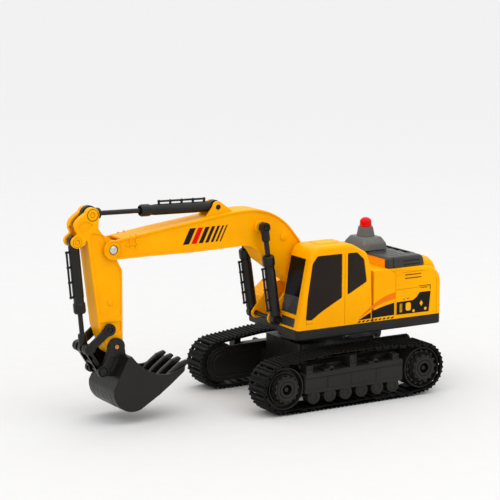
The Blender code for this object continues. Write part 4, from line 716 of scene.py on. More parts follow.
# ---- Engine hood ------------------------------------------------------------------------------
# A lid clipped over the engine block, in grey ABS a shade lighter than the deck's, from a polished
# mould: rounded corners, two slots in each side, pressed lines on top, and an open front.
moulded_hood_abs = moulded("moulded_polished_grey_abs", "#3A3937", "#343331", 0.30, 0.45, 0.22, 1.53, 0.20)
HOOD_HALF = 42.0
HOOD_FRONT, HOOD_BACK, HOOD_FOOT, HOOD_TOP = 43.4, 79.5, 103.3, 112.2

hood = slab(rounded([((HOOD_FRONT, HOOD_FOOT), 0), ((HOOD_BACK, HOOD_FOOT), 0), ((HOOD_BACK, HOOD_TOP), 5),
                     ((HOOD_FRONT, HOOD_TOP), 3.6)]), -HOOD_HALF, HOOD_HALF)
softened(hood, lambda a, b: abs(a.x - b.x) < 0.1 and abs(a.x) > HOOD_HALF - 0.1
         and max(a.z, b.z) > HOOD_FOOT + 0.1, 2.4)
cut(hood, block((-41.0, 41.0, 102), (37.0, 73.8, 110.4)), block((-38.0, 41.5, 102), (36.5, 46.0, 109.4)))
for sign in (1, -1):
    cut(hood, together(*[side_block(sign, HOOD_HALF - 1.0, HOOD_HALF + 1, low, high) for low, high in (
        ((58.5, 107.6), (74.5, 108.5)), ((58.5, 104.6), (74.5, 105.5)), ((48.6, 102.0), (49.0, 113.0)))]))
pressed = [block((-30.0 + 12.0 * k, 67.0, HOOD_TOP - 0.4), (-29.5 + 12.0 * k, 78.0, HOOD_TOP + 1))
           for k in range(6)]
pressed += [block((14.0, 47.0 + 5.0 * k, HOOD_TOP - 0.4), (36.0, 47.5 + 5.0 * k, HOOD_TOP + 1))
            for k in range(4)]
cut(hood, together(*pressed))
filler = slab(oblong((-33.0, 69.5), (33.0, 76.5), 1), HOOD_TOP - 0.5, HOOD_TOP, "Z")
fitted("hood_lid", together(hood, filler), moulded_hood_abs, "house", ("engine_hood",),
       edge=0.4)

# ---- Beacon -----------------------------------------------------------------------------------
# A grey ABS tower in three steps carries the red lens, which is clear polystyrene dyed through and
# plugs into the tower's neck.
BEACON = (-5.0, 53.0)
TOWER_FOOT = 112.5
TOWER_TOP = 130.6


def lofted(sections, centre, steps=6):
    """A tapering block through (height, half X, half Y, corner radius) sections."""
    mesh = bmesh.new()
    loops = []
    for z, hx, hy, radius in sections:
        ring = oblong((-hx, -hy), (hx, hy), radius, steps)
        loops.append([mesh.verts.new((centre[0] + p.x, centre[1] + p.y, z)) for p in ring])
    for low, high in zip(loops, loops[1:]):
        for i in range(len(low)):
            j = (i + 1) % len(low)
            mesh.faces.new((low[i], low[j], high[j], high[i]))
    mesh.faces.new(loops[0][::-1])
    mesh.faces.new(loops[-1])
    return stock(mesh)


tower = lofted([(TOWER_FOOT, 15.0, 12.2, 2.0), (TOWER_FOOT + 5.2, 14.4, 11.6, 2.0),
                (TOWER_FOOT + 9.6, 11.0, 9.4, 2.2), (TOWER_FOOT + 10.2, 10.4, 8.8, 2.0)], BEACON)
neck = lofted([(TOWER_FOOT + 9.0, 6.5, 6.5, 3.0), (TOWER_FOOT + 11.2, 6.2, 6.2, 3.0),
               (TOWER_TOP, 5.3, 5.3, 3.4)], BEACON)
cut(neck, turned([(TOWER_TOP - 3, 0), (TOWER_TOP - 3, 3.4), (TOWER_TOP + 1, 3.4), (TOWER_TOP + 1, 0)],
                 (*BEACON, 0), "Z"))
fitted("beacon_stand", together(tower, neck), moulded_mid_abs, "house", ("beacon_tower",),
       edge=0.5)

# Clear dyed polystyrene: IOR 1.59, mirror-smooth outside, its red a little uneven through the wall.
red_lens, tree, shader, place = blank("dyed_clear_polystyrene")
depth_of_dye = add(tree, "TexNoise", {"Vector": place, "Scale": 120.0, "Detail": 2.0})
dye = add(tree, "Mix", {0: depth_of_dye.outputs["Fac"], 6: linear("#CC0200"), 7: linear("#E60503")},
          data_type="RGBA")
tree.links.new(dye.outputs[2], shader.inputs["Base Color"])
ripple = add(tree, "TexNoise", {"Vector": place, "Scale": 700.0, "Detail": 1.0})
tree.links.new(add(tree, "Bump", {"Height": ripple.outputs["Fac"], "Strength": 0.04, "Distance": 0.0001})
               .outputs[0], shader.inputs["Normal"])
shader.inputs["IOR"].default_value = 1.59
shader.inputs["Roughness"].default_value = 0.08
shader.inputs["Specular IOR Level"].default_value = 0.10

lens_foot = TOWER_TOP + 0.3
dome = [(lens_foot + 3.5 + 3.9 * math.sin(math.radians(a)), 4.9 * math.cos(math.radians(a)))
        for a in range(0, 90, 6)]
lens = turned([(lens_foot, 0), (lens_foot, 5.2), (lens_foot + 0.7, 5.2), (lens_foot + 1.0, 4.95)] + dome
              + [(lens_foot + 7.4, 0)], (*BEACON, 0), "Z")
plug = turned([(lens_foot - 2.4, 0), (lens_foot - 2.4, 3.0), (lens_foot + 1, 3.0), (lens_foot + 1, 0)],
              (*BEACON, 0), "Z")
fitted("lens_dome", together(lens, plug), red_lens, "house", ("beacon_lens",), edge=0.12)

# ---- Cab --------------------------------------------------------------------------------------
# The cab is a yellow ABS shell, rounded over its roof, front corner and door edge. Its panes are
# separate dark mouldings pressed in from inside, flush but for a hair.
CAB_FRONT, CAB_REAR, CAB_TOP = -44.0, 28.0, 127.4
LEAN = 11.5
FRONT_TOP = CAB_TOP - 9.0
PANE_SINK, PANE = 0.4, 1.2

cab_outline = rounded([((CAB_FRONT, BASE), 0), ((CAB_REAR, BASE), 0), ((CAB_REAR - 1.5, 105.0), 3),
                       ((CAB_REAR - 6, CAB_TOP - 8.5), 7), ((CAB_REAR - 21, CAB_TOP), 12),
                       ((CAB_FRONT + LEAN + 4, CAB_TOP), 10), ((CAB_FRONT + LEAN, FRONT_TOP), 5)], 8)
cab = slab(cab_outline, CAB_IN, HALF)
softened(cab, lambda a, b: abs(a.x - b.x) < 0.1 and a.x > HALF - 0.1 and max(a.z, b.z) > BASE + 0.1
         and min(a.y, b.y) < CAB_REAR - 0.1, 5.2, 8)
softened(cab, lambda a, b: abs(a.x - b.x) < 0.1 and a.x < CAB_IN + 0.1 and max(a.z, b.z) > BASE + 0.1
         and min(a.y, b.y) < CAB_REAR - 0.1, 2.2, 5)
cut(cab, slab(rounded([((-42.2, 60), 0), ((26.2, 60), 0), ((24.7, 104), 2), ((20.2, CAB_TOP - 9.5), 5),
                       ((6.5, CAB_TOP - 1.8), 6), ((CAB_FRONT + LEAN + 5, CAB_TOP - 1.8), 4),
                       ((CAB_FRONT + LEAN + 1.8, FRONT_TOP), 3)]), CAB_IN + 1.8, HALF - 1.8))

# Smoked ABS panes: nearly black with a brown cast, polished, so they mirror the room softly.
smoked_pane = moulded("smoked_pane", "#231A14", "#1D1510", 0.24, 0.8, 0.06, 1.53, 0.12)
# The upper windscreen's pane is a darker, less glossy copy of the smoked pane: painted shade for the cab's
# front face.
front_pane_painted_shade = moulded("front_pane_painted_shade", "#0F0C0A", "#0B0908", 0.24, 0.8, 0.05, 1.53, 0.08)
grey_pane = moulded("grey_pane", "#403F3D", "#393837", 0.26, 0.8, 0.06, 1.53, 0.14)


def front_y(z):
    """The cab's front face at a height."""
    return CAB_FRONT + LEAN * (z - BASE) / (FRONT_TOP - BASE)


def front_slab(x0, x1, z0, z1, sink, depth, radius=1.0):
    """A plate with rounded corners that leans with the cab's front, from sink to sink + depth behind it."""
    plate = slab(oblong((x0, z0), (x1, z1), radius, 4), sink, sink + depth, "Y")
    for vertex in plate.data.vertices:
        vertex.co.y += front_y(vertex.co.z)
    return plate


for name, node, x0, x1, z0, z1, look, slot in (
        ("upper_windscreen", "windscreen", 15.4, 37.6, 87.55, 117.4, front_pane_painted_shade, "window_abs"),
        ("lower_windscreen", "windscreen_lower", 15.4, 37.6, 73.6, 87.25, grey_pane, "window_grey_abs"),
        ("foot_pane", "foot_window", 17.5, 37.2, 63.4, 70.0, grey_pane, "window_grey_abs")):
    cut(cab, front_slab(x0 - 0.3, x1 + 0.3, z0 - 0.3, z1 + 0.3, -4, 10))
    fitted(name, front_slab(x0, x1, z0, z1, PANE_SINK, PANE), look, "house", (node,), edge=0.2)

door_pane = rounded([((-36.3, 70.0), 1), ((-31.0, 69.5), 1.5), ((-21.8, 75.4), 4), ((-2.8, 84.9), 1),
                     ((-2.8, 120.1), 1), ((-25.8, 120.1), 2.5), ((-30.2, 114.5), 3), ((-34.6, 88.0), 6)], 5)
rear_pane = rounded([((3.0, 86.6), 0.8), ((21.0, 95.6), 2), ((18.2, 113.8), 3), ((11.6, 119.8), 3),
                     ((3.0, 120.0), 0.8)], 5)
right_pane = rounded([((-24.0, 98.0), 2), ((14.0, 98.0), 2), ((10.0, 119.8), 2), ((-24.0, 119.8), 2)], 4)
for name, node, outline, face, inward in (("door_pane", "door_window", door_pane, HALF, -1),
                                          ("rear_side_pane", "rear_side_window", rear_pane, HALF, -1),
                                          ("right_side_pane", "cab_right_window", right_pane, CAB_IN, 1)):
    cut(cab, slab(shrunk(outline, -0.3), *sorted((face - inward, face + inward * 2.8))))
    near = face + inward * PANE_SINK
    fitted(name, slab(outline, *sorted((near, near + inward * PANE))), smoked_pane, "house",
           (node,), edge=0.2)
for low, high in (((0.0, 63.0), (0.28, 119.0)), ((-36.0, 66.4), (-30.5, 66.7)), ((-36.3, 66.4), (-36.0, 69.4))):
    cut(cab, side_block(1, HALF - 0.3, HALF + 1, low, high))
hatch = slab(oblong((17.5, -18.0), (33.0, 2.0), 3), CAB_TOP - 1.0, CAB_TOP + 0.5, "Z")
fitted("cab_casing", together(cab, hatch), moulded_yellow_abs, "house", ("cab_shell",), edge=0.2)

# ---- Right-hand tank --------------------------------------------------------------------------
# Beside the boom, opposite the cab, a yellow ABS moulding stands for the fuel and hydraulic tanks:
# a sloping box with a step up to the body, four treads, a round filler lid and a scored door.
tank = slab(rounded([((-38, BASE), 0), ((CAB_REAR, BASE), 0), ((CAB_REAR, 101), 0), ((12, 101), 3),
                     ((2, 90), 3), ((-24, 88), 3), ((-37, 76.7), 3)]), -HALF, -CAB_IN)
softened(tank, lambda a, b: abs(a.x - b.x) < 0.1 and a.x < -HALF + 0.1 and max(a.z, b.z) > BASE + 0.1
         and min(a.y, b.y) < CAB_REAR - 0.1, 2.6, 6)
for low, high in (((-24.0, 66.0), (8.0, 66.4)), ((-24.0, 84.0), (8.0, 84.4)), ((-24.4, 66.0), (-24.0, 84.4)),
                  ((8.0, 66.0), (8.4, 84.4))):
    cut(tank, side_block(-1, HALF + 1, HALF - 0.45, low, high))
lid = turned([(88.0, 0), (88.0, 4.2), (90.6, 4.2), (91.2, 3.6), (91.2, 0)], (-29.0, -8.0, 0), "Z", 32)
steps = [block((-40.0, -36.6 + 2.6 * k, 76.0 + 2.26 * k), (-18.0, -35.8 + 2.6 * k, 77.6 + 2.26 * k))
         for k in range(4)]
fitted("tank_casing", together(tank, lid, *steps), moulded_yellow_abs, "house", ("right_tank",),
       edge=0.4)

# ---- Boom bracket and its pins ----------------------------------------------------------------
# Two yellow ABS ears rise from the deck on one base; the boom turns on a steel rod between them and
# both lift cylinders on a black ABS pin at their front.
BOOM_FOOT = Vector((-2.0, 84.0))
LIFT_FOOT = Vector((-48.5, 67.2))
LIFT_EYE = Vector((-59.0, 142.5))
EAR = (11.5, 13.4)
LIFT_X = 18.3
PIN_R = 1.8

ear_outline = (arc(LIFT_FOOT, 4.2, 150, 300, 14) + points((-36.0, 61.9), (14.0, 61.9), (14.0, 68.0))
               + arc(BOOM_FOOT, 9.5, 0, 110, 14) + points((-24.0, 92.5), (-34.5, 90.0)))
bracket_parts = [block((-12.5, -36.0, BASE), (12.5, 14.0, BASE + 3.0))]
for sign in (1, -1):
    ear = slab(ear_outline, *flank(sign, *EAR))
    bracket_parts.append(cut(ear, pin(-20, 20, BOOM_FOOT, 2.7), pin(-20, 20, LIFT_FOOT, 2.1)))
fitted("boom_ears", together(*bracket_parts), moulded_yellow_abs, "house", ("boom_bracket",),
       edge=0.35)


def headed_pin(half, point, radius, dimple=0.6):
    """A pin along X with rounded ends and a shallow dimple in each."""
    bar = slab(arc(point, radius, 0, 350, 35), -half, half)
    for end in (1, -1):
        cut(bar, pin(end * (half - 0.4), end * (half + 1), point, radius * dimple, 24))
    return bar


fitted("boom_foot_rod", headed_pin(EAR[1], BOOM_FOOT, 2.4), plated_steel, "house", ("boom_foot_pin",),
       0.25)
fitted("lift_foot_pin", headed_pin(21.2, LIFT_FOOT, PIN_R), moulded_black_abs, "house",
       ("cylinder_foot_pin",), 0.25)

# ---- Boom -------------------------------------------------------------------------------------
# The gooseneck boom is two yellow ABS half shells screwed together along the middle. Each has a raised
# rim round a sunk side panel, round bosses at its pins and a fork at the end that takes the stick.
STICK_FOOT = Vector((-94.6, 160.2))
STICK_PIVOT = Vector((-188.4, 135.2))
BOOM_HALF, BOOM_WALL = 11.0, 2.5
RIM = 1.5
PANEL_SINK = 1.0


boom_outline = (arc(BOOM_FOOT, 9.0, 205, 385, 20)
                + run((-22.5, 129.8), (-32.5, 141.8), (-43.0, 149.8), (-54.5, 154.6), (-67.5, 156.4),
                      (-87.7, 155.4), (-115.3, 151.8), (-150.4, 147.6))
                + arc(STICK_PIVOT, 7.7, 72, 262, 24)
                + run((-155.9, 127.6), (-122.2, 127.1), (-94.7, 127.5), (-72.0, 127.9), (-64.5, 125.3),
                      (-59.0, 120.5), (-54.7, 113.6)))
half = slab(boom_outline, 0.02, BOOM_HALF)
cut(half, slab(shrunk(boom_outline, 1.6), -1, BOOM_HALF - BOOM_WALL),
    block((-1, -230, 100), (BOOM_HALF - BOOM_WALL, STICK_PIVOT.x + 7.4, 190)),
    block((-1, -230, 99), (BOOM_HALF - BOOM_WALL, STICK_PIVOT.x + 16, 139)),
    slab(shrunk(boom_outline, RIM), BOOM_HALF - PANEL_SINK, BOOM_HALF + 1))
lug = slab([(STICK_FOOT.x - 13, 150.5), (STICK_FOOT.x + 17, 153.0)] + arc(STICK_FOOT, 4.6, 50, 175, 14),
           4.8, 7.0)
lug_rim = pin(5.0, 7.3, STICK_FOOT, 3.0)
end_boss = turned([(8.6, 0), (8.6, 7.4), (10.9, 7.4), (10.95, 6.4), (10.5, 6.2), (10.5, 4.2), (10.9, 4.0),
                   (10.9, 0)], (0, *STICK_PIVOT))
lift_boss = turned([(9.0, 0), (9.0, 5.4), (12.8, 5.2), (13.4, 4.6), (13.4, 0)], (0, *LIFT_EYE))
faint_boss = turned([(9.8, 0), (9.8, 3.4), (10.6, 3.4), (10.8, 3.0), (10.8, 0)], (0, -36.1, 132.2))
ribs = [side_block(1, 9.8, 10.95, low, high) for low, high in (
    ((-178.2, 142.6), (-168.4, 143.8)), ((-178.2, 137.4), (-168.4, 138.6)),
    ((-174.6, 136.0), (-173.4, 145.2)), ((-169.6, 135.0), (-168.4, 146.0)))]
for shape in (half, lug, lug_rim):
    cut(shape, pin(-1, 12, STICK_FOOT, 2.1))
for shape in (half, lift_boss):
    cut(shape, pin(-1, 20, LIFT_EYE, 2.1))
for shape in (half, end_boss):
    cut(shape, pin(-1, 12, STICK_PIVOT, 2.1), pin(9.8, 12, STICK_PIVOT, 3.6))
cut(half, pin(-1, 12, BOOM_FOOT, 2.9), pin(-1, 3.0, STICK_FOOT, 5.5))
half = together(half, lug, lug_rim, end_boss, lift_boss, faint_boss, *ribs)
for side, shell in (("left", half), ("right", mirrored(half))):
    fitted("boom_shell_" + side, shell, moulded_yellow_abs, "boom", ("boom_" + side + "_half",))

# The film on the boom's flank: a plain speed stripe of slanted bars that get thinner, one of them red.
BARS = ((-128.0, 5.4), (-120.6, 4.6), (-114.0, 3.8), (-108.2, 3.0), (-103.2, 2.3), (-98.9, 1.7), (-95.2, 1.2))
low, high = 133.6, 146.0
lean = 0.5 * (high - low)
for side, face in (("left", BOOM_HALF - PANEL_SINK), ("right", -BOOM_HALF + PANEL_SINK)):
    bars = []
    for y, width in BARS:
        bars.append(points((y, low), (y + width, low), (y + width + lean, high), (y + lean, high)))
    film("boom_stripe_black_" + side, [bars[0]] + bars[2:], black_film, "boom", face)
    film("boom_stripe_red_" + side, bars[1:2], red_film, "boom", face)

# A plated cross-head screw holds the stick in the boom's fork; black pins hold the cylinders.
screw = turned([(10.0, 0), (10.0, 3.1), (10.5, 3.1), (10.85, 2.4), (10.9, 0.0)], (0, *STICK_PIVOT))
for across in (Vector((1.7, 0.35)), Vector((0.35, 1.7))):
    cut(screw, side_block(1, 10.4, 12, STICK_PIVOT - across, STICK_PIVOT + across))
fitted("fork_screw", together(pin(-10.8, 10.1, STICK_PIVOT, PIN_R), screw), plated_steel, "boom",
       ("stick_pivot_screw",), edge=0.12)
fitted("stick_foot_pin", headed_pin(7.5, STICK_FOOT, PIN_R), moulded_black_abs, "boom",
       ("stick_cylinder_pin",), 0.25)
fitted("lift_eye_pin", headed_pin(21.2, LIFT_EYE, PIN_R), moulded_black_abs, "boom",
       ("boom_cylinder_pin",), 0.25)

# ---- Stick ------------------------------------------------------------------------------------
# The stick is again two yellow ABS halves: a sunk panel with one round button, a rib above the
# linkage, and at the top a pair of curved lugs with raised rims for the two cylinders.
STICK_HALF = 8.0
STICK_SINK = 0.9
STICK_EYE = Vector((-204.3, 163.0))
CURL_FOOT = Vector((-217.4, 143.1))
ROCKER_PIVOT = Vector((-192.4, 73.4))
BUCKET_PIVOT = Vector((-187.1, 59.7))
ROCKER_END = Vector((-210.1, 59.8))
LINK_END = Vector((-199.2, 41.6))

stick_outline = (arc(STICK_PIVOT, 7.0, -65, 80, 16) + run((-196.4, 147.5), (-199.6, 152.4))
                 + arc(STICK_EYE, 5.6, -20, 160, 20)
                 + run((-214.2, 162.0), (-218.0, 158.2), (-218.8, 153.5), (-217.0, 149.0))
                 + arc(CURL_FOOT, 4.6, 110, 290, 18)
                 + run((-211.0, 140.8), (-209.2, 144.0), (-207.0, 127.8), steps=2)
                 + [Vector((-203.4, 99.8)), Vector((-200.6, 76.0))]
                 + arc(BUCKET_PIVOT, 7.0, 200, 352, 16) + [Vector((-180.1, 71.6)), Vector((-179.8, 118.3))])
half = slab(stick_outline, 0.02, STICK_HALF)
sunk_panel = rounded([((-181.6, 82.0), 1), ((-181.4, 118.3), 3), ((-187.0, 127.0), 3), ((-196.6, 147.4), 3),
                      ((-207.2, 149.8), 3), ((-204.6, 122.0), 6), ((-198.6, 82.0), 1)], 4)
foot_panel = rounded([((-181.8, 71.0), 1), ((-181.8, 79.0), 1), ((-199.4, 79.0), 1), ((-198.8, 74.6), 1),
                      ((-197.0, 66.0), 2)], 4)
goose = rounded([((-203.2, 155.6), 1.2), ((-210.4, 159.0), 1.6), ((-215.6, 157.0), 2), ((-216.4, 151.6), 1.6),
                 ((-211.6, 150.4), 1.2)], 4)
split_z = STICK_EYE.y - 8.6
cut(half, slab(shrunk(stick_outline, 1.6), -1, STICK_HALF - 2.6),
    block((-1, STICK_EYE.x - 36, split_z - 1), (3.0, STICK_EYE.x + 7.1, STICK_EYE.y + 12)),
    block((-1, STICK_EYE.x - 36, CURL_FOOT.y - 14), (4.8, CURL_FOOT.x + 6.0, split_z)),
    *[slab(each[::-1], STICK_HALF - STICK_SINK, STICK_HALF + 1) for each in (sunk_panel, foot_panel, goose)])
bosses = [turned([(5.8, 0), (5.8, 2.5), (7.9, 2.5), (8.0, 2.1), (8.0, 0)], (0, -190.0, 94.2), steps=32),
          turned([(3.2, 0), (3.2, 5.5), (7.6, 5.5), (8.0, 5.1), (8.0, 3.9), (7.5, 3.7), (7.5, 0)],
                 (0, *STICK_EYE)),
          turned([(5.0, 0), (5.0, 4.5), (7.6, 4.5), (8.0, 4.1), (8.0, 3.2), (7.5, 3.0), (7.5, 0)],
                 (0, *CURL_FOOT))]
for shape in bosses[1:]:
    cut(shape, pin(-1, 12, STICK_EYE, 2.1), pin(-1, 12, CURL_FOOT, 2.1))
for point, radius in ((STICK_EYE, 2.1), (CURL_FOOT, 2.1), (STICK_PIVOT, 2.3), (ROCKER_PIVOT, 2.1),
                      (BUCKET_PIVOT, 2.1)):
    cut(half, pin(-1, 12, point, radius))
half = together(half, *bosses)
for side, shell in (("left", half), ("right", mirrored(half))):
    fitted("stick_shell_" + side, shell, moulded_yellow_abs, "stick",
           ("stick_" + side + "_half",))

# Copper-plated steel: a warm metal pin that carries the bucket, dulled a little by handling.
copper_plate = moulded("copper_plated_steel", "#D9966A", "#C27F55", 0.28, 0.6, 0.15, 1.5)
copper_plate.node_tree.nodes["Principled BSDF"].inputs["Metallic"].default_value = 1.0
fitted("stick_eye_pin_cap", headed_pin(7.8, STICK_EYE, PIN_R), moulded_yellow_abs, "stick",
       ("stick_eye_pin",), 0.2)
fitted("curl_foot_pin", headed_pin(7.8, CURL_FOOT, PIN_R), moulded_yellow_abs, "stick",
       ("bucket_cylinder_pin",), 0.2)
fitted("rocker_pivot_pin", headed_pin(11.3, ROCKER_PIVOT, PIN_R), moulded_black_abs, "stick",
       ("rocker_pin",), 0.2)
fitted("bucket_pivot_pin", headed_pin(11.9, BUCKET_PIVOT, PIN_R), copper_plate, "stick",
       ("bucket_pin",), 0.25)

# ---- Rocker and link --------------------------------------------------------------------------
# The bucket linkage is black ABS: a rocker of two round-ended straps on a cross bar, and a link that
# hangs inside it and pulls on the bucket's back.


def strap(a, radius_a, b, radius_b, x0, x1):
    """A flat bar with two round ends."""
    return slab(around([(a, radius_a), (b, radius_b)]), min(x0, x1), max(x0, x1))


pieces = []
for sign in (1, -1):
    arm = strap(ROCKER_PIVOT, 3.6, ROCKER_END, 3.1, sign * 8.5, sign * 10.8)
    hub = pin(sign * 8.5, sign * 11.3, ROCKER_PIVOT, 4.8, 40)
    knuckle = pin(sign * 8.5, sign * 11.3, ROCKER_END, 4.2, 40)
    for shape in (arm, hub):
        cut(shape, pin(-14, 14, ROCKER_PIVOT, 2.3))
    cut(knuckle, pin(sign * 10.9, sign * 12, ROCKER_END, 1.8))
    pieces += [arm, hub, knuckle]
bar = pin(-9.5, 9.5, ROCKER_END, PIN_R)
fitted("rocker_arms", together(*pieces, bar), moulded_black_abs, "rocker", ("rocker",), edge=0.35)

pieces = []
bridge_at = ROCKER_END.lerp(LINK_END, 0.62)
for sign in (1, -1):
    arm = strap(ROCKER_END, 2.9, LINK_END, 2.6, sign * 5.2, sign * 7.7)
    for shape in (arm, pin(sign * 5.2, sign * 8.0, ROCKER_END, 4.2, 40),
                  pin(sign * 5.2, sign * 8.0, LINK_END, 3.5, 40)):
        pieces.append(cut(shape, pin(-14, 14, ROCKER_END, 2.8), pin(-14, 14, LINK_END, 2.3)))
fitted("link_arms", together(*pieces, pin(-6.2, 6.2, bridge_at, 2.2)), moulded_black_abs, "bucket_link",
       ("bucket_link",), edge=0.35)

# ---- Bucket -----------------------------------------------------------------------------------
# The bucket is one black ABS moulding: two scooped side plates, a curved back with faint ribs, a lip
# with four long teeth, and a pair of ears with ringed eyes for its pivot and the link.
BUCKET_HALF, BUCKET_WALL = 22.0, 2.0
centre = Vector((-178.2, 26.6))
bucket_outline = (points((-179.6, 53.4), (-182.2, 52.6), (-195.2, 28.5))
                  + arc(centre, 17.2, 185, 292, 24)
                  + points((-155.7, 20.0), (-145.4, 27.2), (-133.4, 36.4), (-133.0, 40.6))
                  + run((-140.6, 37.6), (-147.7, 35.6), (-155.6, 36.4), (-163.0, 39.0), (-169.4, 42.8),
                        (-175.7, 48.7)))
scoop = slab(bucket_outline, -BUCKET_HALF, BUCKET_HALF)
hollow = (points((-178.4, 51.6), (-180.2, 51.3), (-193.1, 28.4))
          + arc(centre, 17.2 - BUCKET_WALL, 185, 292, 24)
          + points((-156.7, 21.8), (-146.6, 28.9), (-134.6, 38.2), (-131.0, 44.0), (-150.0, 60.0),
                                 (-174.0, 60.0)))
cut(scoop, slab(hollow, -BUCKET_HALF + BUCKET_WALL, BUCKET_HALF - BUCKET_WALL))
pieces = [scoop]
ear_shape = (arc(BUCKET_PIVOT, 6.9, -12, 168, 24) + run((-195.6, 54.5), (-198.0, 48.5), steps=3)
             + arc(LINK_END, 4.3, 100, 300, 24) + points((-190.0, 37.0), (-184.0, 48.2), (-179.4, 51.6)))
for sign in (1, -1):
    ear = cut(slab(ear_shape, *flank(sign, 8.5, 11.9)), pin(-14, 14, BUCKET_PIVOT, 2.3))
    pocket = rounded([((-186.6, 50.4), 1), ((-191.4, 53.0), 1), ((-196.0, 46.6), 1), ((-192.4, 40.8), 1)], 4)
    cut(ear, slab(pocket[::-1], *flank(sign, 11.2, 13)))
    ring = turned([(sign * 11.0, 2.6), (sign * 11.0, 4.3), (sign * 11.9, 4.1), (sign * 11.9, 2.8)],
                  (0, *LINK_END))
    pieces += [ear, ring]
    cheek = slab(rounded([((-134.0, 37.6), 0.4), ((-147.0, 34.0), 2), ((-156.0, 27.0), 2),
                          ((-154.6, 21.6), 0.6), ((-145.6, 27.8), 0.4)], 4)[::-1], *flank(sign, 21.0, 22.4))
    pieces.append(cheek)
pieces.append(pin(-9.5, 9.5, LINK_END, PIN_R))
for x in (-14.6, -7.3, 0.0, 7.3, 14.6):
    pieces.append(slab(arc(centre, 17.35, 186, 250, 16) + arc(centre, 16.4, 250, 186, 16), x - 0.35, x + 0.35))
for k in range(4):
    x = -18.5 + k * 37.0 / 3
    tooth = slab(points((-157.4, 21.2), (-145.6, 28.6), (-134.0, 37.2), (-128.6, 42.8), (-130.6, 44.6),
                                      (-137.4, 42.6), (-146.0, 36.4), (-155.0, 28.4)), x - 1.9, x + 1.9)
    pieces.append(softened(tooth, lambda a, b: abs(a.x - b.x) < 0.1 and min(a.z, b.z) > 26, 0.9, 3))
fitted("bucket_scoop", together(*pieces), moulded_black_abs, "bucket", ("bucket",), edge=0.35)

# ---- Cylinders --------------------------------------------------------------------------------
# Four dummy hydraulic cylinders in black ABS: a barrel with a stepped collar, a ladder rail moulded
# along it on small round nodes, and a rod that slides inside with an eye on its pin.


def placed(shape, foot, eye, x):
    """Turns a shape made along +Z so that it runs from the foot pin towards the eye pin."""
    way = (eye - foot).normalized()
    lean = Matrix.Rotation(math.atan2(way.y, way.x) - math.pi / 2, 4, "X")
    mesh = bmesh.new()
    mesh.from_mesh(shape.data)
    bmesh.ops.transform(mesh, verts=mesh.verts, matrix=Matrix.Translation((x, foot.x, foot.y)) @ lean)
    mesh.to_mesh(shape.data)
    mesh.free()
    return shape


def bead(x, y, z, radius):
    """A small moulded node: a ball flattened a little."""
    rings = [(z + radius * math.sin(math.radians(a)), radius * math.cos(math.radians(a)))
             for a in range(-75, 90, 30)]
    return turned([(z - radius, 0)] + rings + [(z + radius, 0)], (x, y, 0), "Z", 14)


def barrel(name, size, foot, eye, x, rail_side, rail, body, node):
    """A barrel with its foot eye and its ladder rail, given as (start, end, posts)."""
    mouth, radius, collar = size["mouth"], size["barrel"], size["collar"]
    start = size["foot"] * 0.75
    blind_end = mouth - size["rod_inside"] - 14
    tube = turned([(start, 0), (start, radius - 0.6), (start + 0.8, radius), (mouth - 12.4, radius),
                   (mouth - 12.0, radius - 0.25), (mouth - 8.4, radius - 0.25), (mouth - 8.0, collar - 0.3),
                   (mouth - 7.4, collar), (mouth - 1.2, collar), (mouth - 0.6, collar - 0.5),
                   (mouth, collar - 0.6), (mouth, size["bore"]), (blind_end, size["bore"]), (blind_end, 0)],
                  (0, 0, 0), "Z", 40)
    foot_eye = cut(pin(-2.5, 2.5, (0, 0), size["foot"]), pin(-4, 4, (0, 0), 2.3))
    low, high, posts = rail
    out = rail_side * (radius + 2.05)
    rung = turned([(low, 0), (low, 0.6), (low + 0.3, 0.85), (high - 0.3, 0.85), (high, 0.6), (high, 0)],
                  (0, out, 0), "Z", 16)
    pieces = [tube, foot_eye, rung]
    for k in range(posts):
        z = low + 0.9 + k * (high - low - 1.8) / (posts - 1)
        y0, y1 = sorted((rail_side * (radius - 0.4), out))
        pieces += [block((-0.8, y0, z - 0.8), (0.8, y1, z + 0.8)), bead(0, out, z, 1.25)]
    fitted(name, placed(together(*pieces), foot, eye, x), moulded_black_abs, body, (node,),
           edge=0.2)


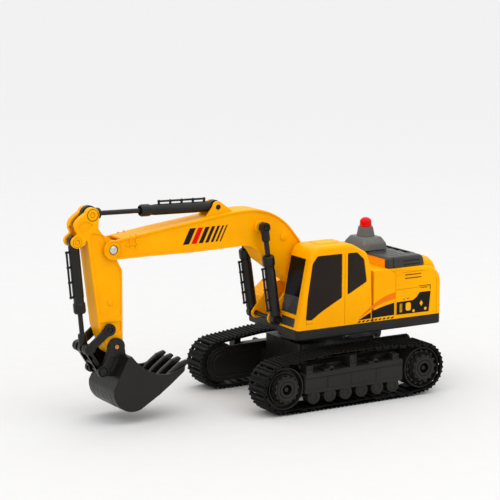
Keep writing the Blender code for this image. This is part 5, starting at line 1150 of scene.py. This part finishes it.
def piston(name, size, foot, eye, x, half, body, node):
    """A rod with its eye; half is the eye's half width."""
    length = (eye - foot).length
    inside = size["mouth"] - size["rod_inside"]
    step = length - size["shoulder"]
    bar = turned([(inside, 0), (inside, size["rod"]), (step, size["rod"]), (step + 0.7, size["neck"] - 0.3),
                  (step + 2.0, size["neck"]), (length - 1.0, size["neck"]), (length - 1.0, 0)],
                 (0, 0, 0), "Z", 32)
    ring = pin(-half, half, (0, length), size["eye"])
    crown = pin(-half - 0.3, half + 0.3, (0, length), size["eye"] - 0.8)
    for shape in (bar, ring, crown):
        cut(shape, pin(-6, 6, (0, length), 2.3))
    fitted(name, placed(together(bar, ring, crown), foot, eye, x), moulded_black_abs, body,
           (node,), edge=0.3)


lift = dict(barrel=4.4, bore=3.0, collar=5.0, rod=2.1, mouth=53.0, rod_inside=27.0,
            foot=4.4, eye=4.2, neck=3.4, shoulder=11.5)
for side, sign in SIDES:
    barrel("lift_barrel_" + side, lift, LIFT_FOOT, LIFT_EYE, sign * LIFT_X, -1, (8.0, 44.0, 5),
           "boom_cylinder_barrels", "boom_cylinder_barrel_" + side)
    piston("lift_rod_" + side, lift, LIFT_FOOT, LIFT_EYE, sign * LIFT_X, 2.5, "boom_cylinder_rods",
           "boom_cylinder_rod_" + side)
crowd = dict(barrel=4.3, bore=3.5, collar=4.8, rod=1.9, mouth=65.6, rod_inside=30.0,
             foot=5.0, eye=6.6, neck=4.4, shoulder=10.0)
barrel("crowd_barrel", crowd, STICK_FOOT, STICK_EYE, 0, 1, (8.0, 50.0, 5), "stick_cylinder_barrel",
       "stick_cylinder_barrel")
piston("crowd_rod", crowd, STICK_FOOT, STICK_EYE, 0, 2.2, "stick_cylinder_rod", "stick_cylinder_rod")
curl = dict(barrel=4.3, bore=3.3, collar=4.8, rod=1.9, mouth=56.5, rod_inside=20.0,
            foot=4.4, eye=4.2, neck=3.4, shoulder=11.5)
barrel("curl_barrel", curl, CURL_FOOT, ROCKER_END, 0, 1, (7.0, 44.0, 4), "bucket_cylinder_barrel",
       "bucket_cylinder_barrel")
piston("curl_rod", curl, CURL_FOOT, ROCKER_END, 0, 2.2, "bucket_cylinder_rod", "bucket_cylinder_rod")
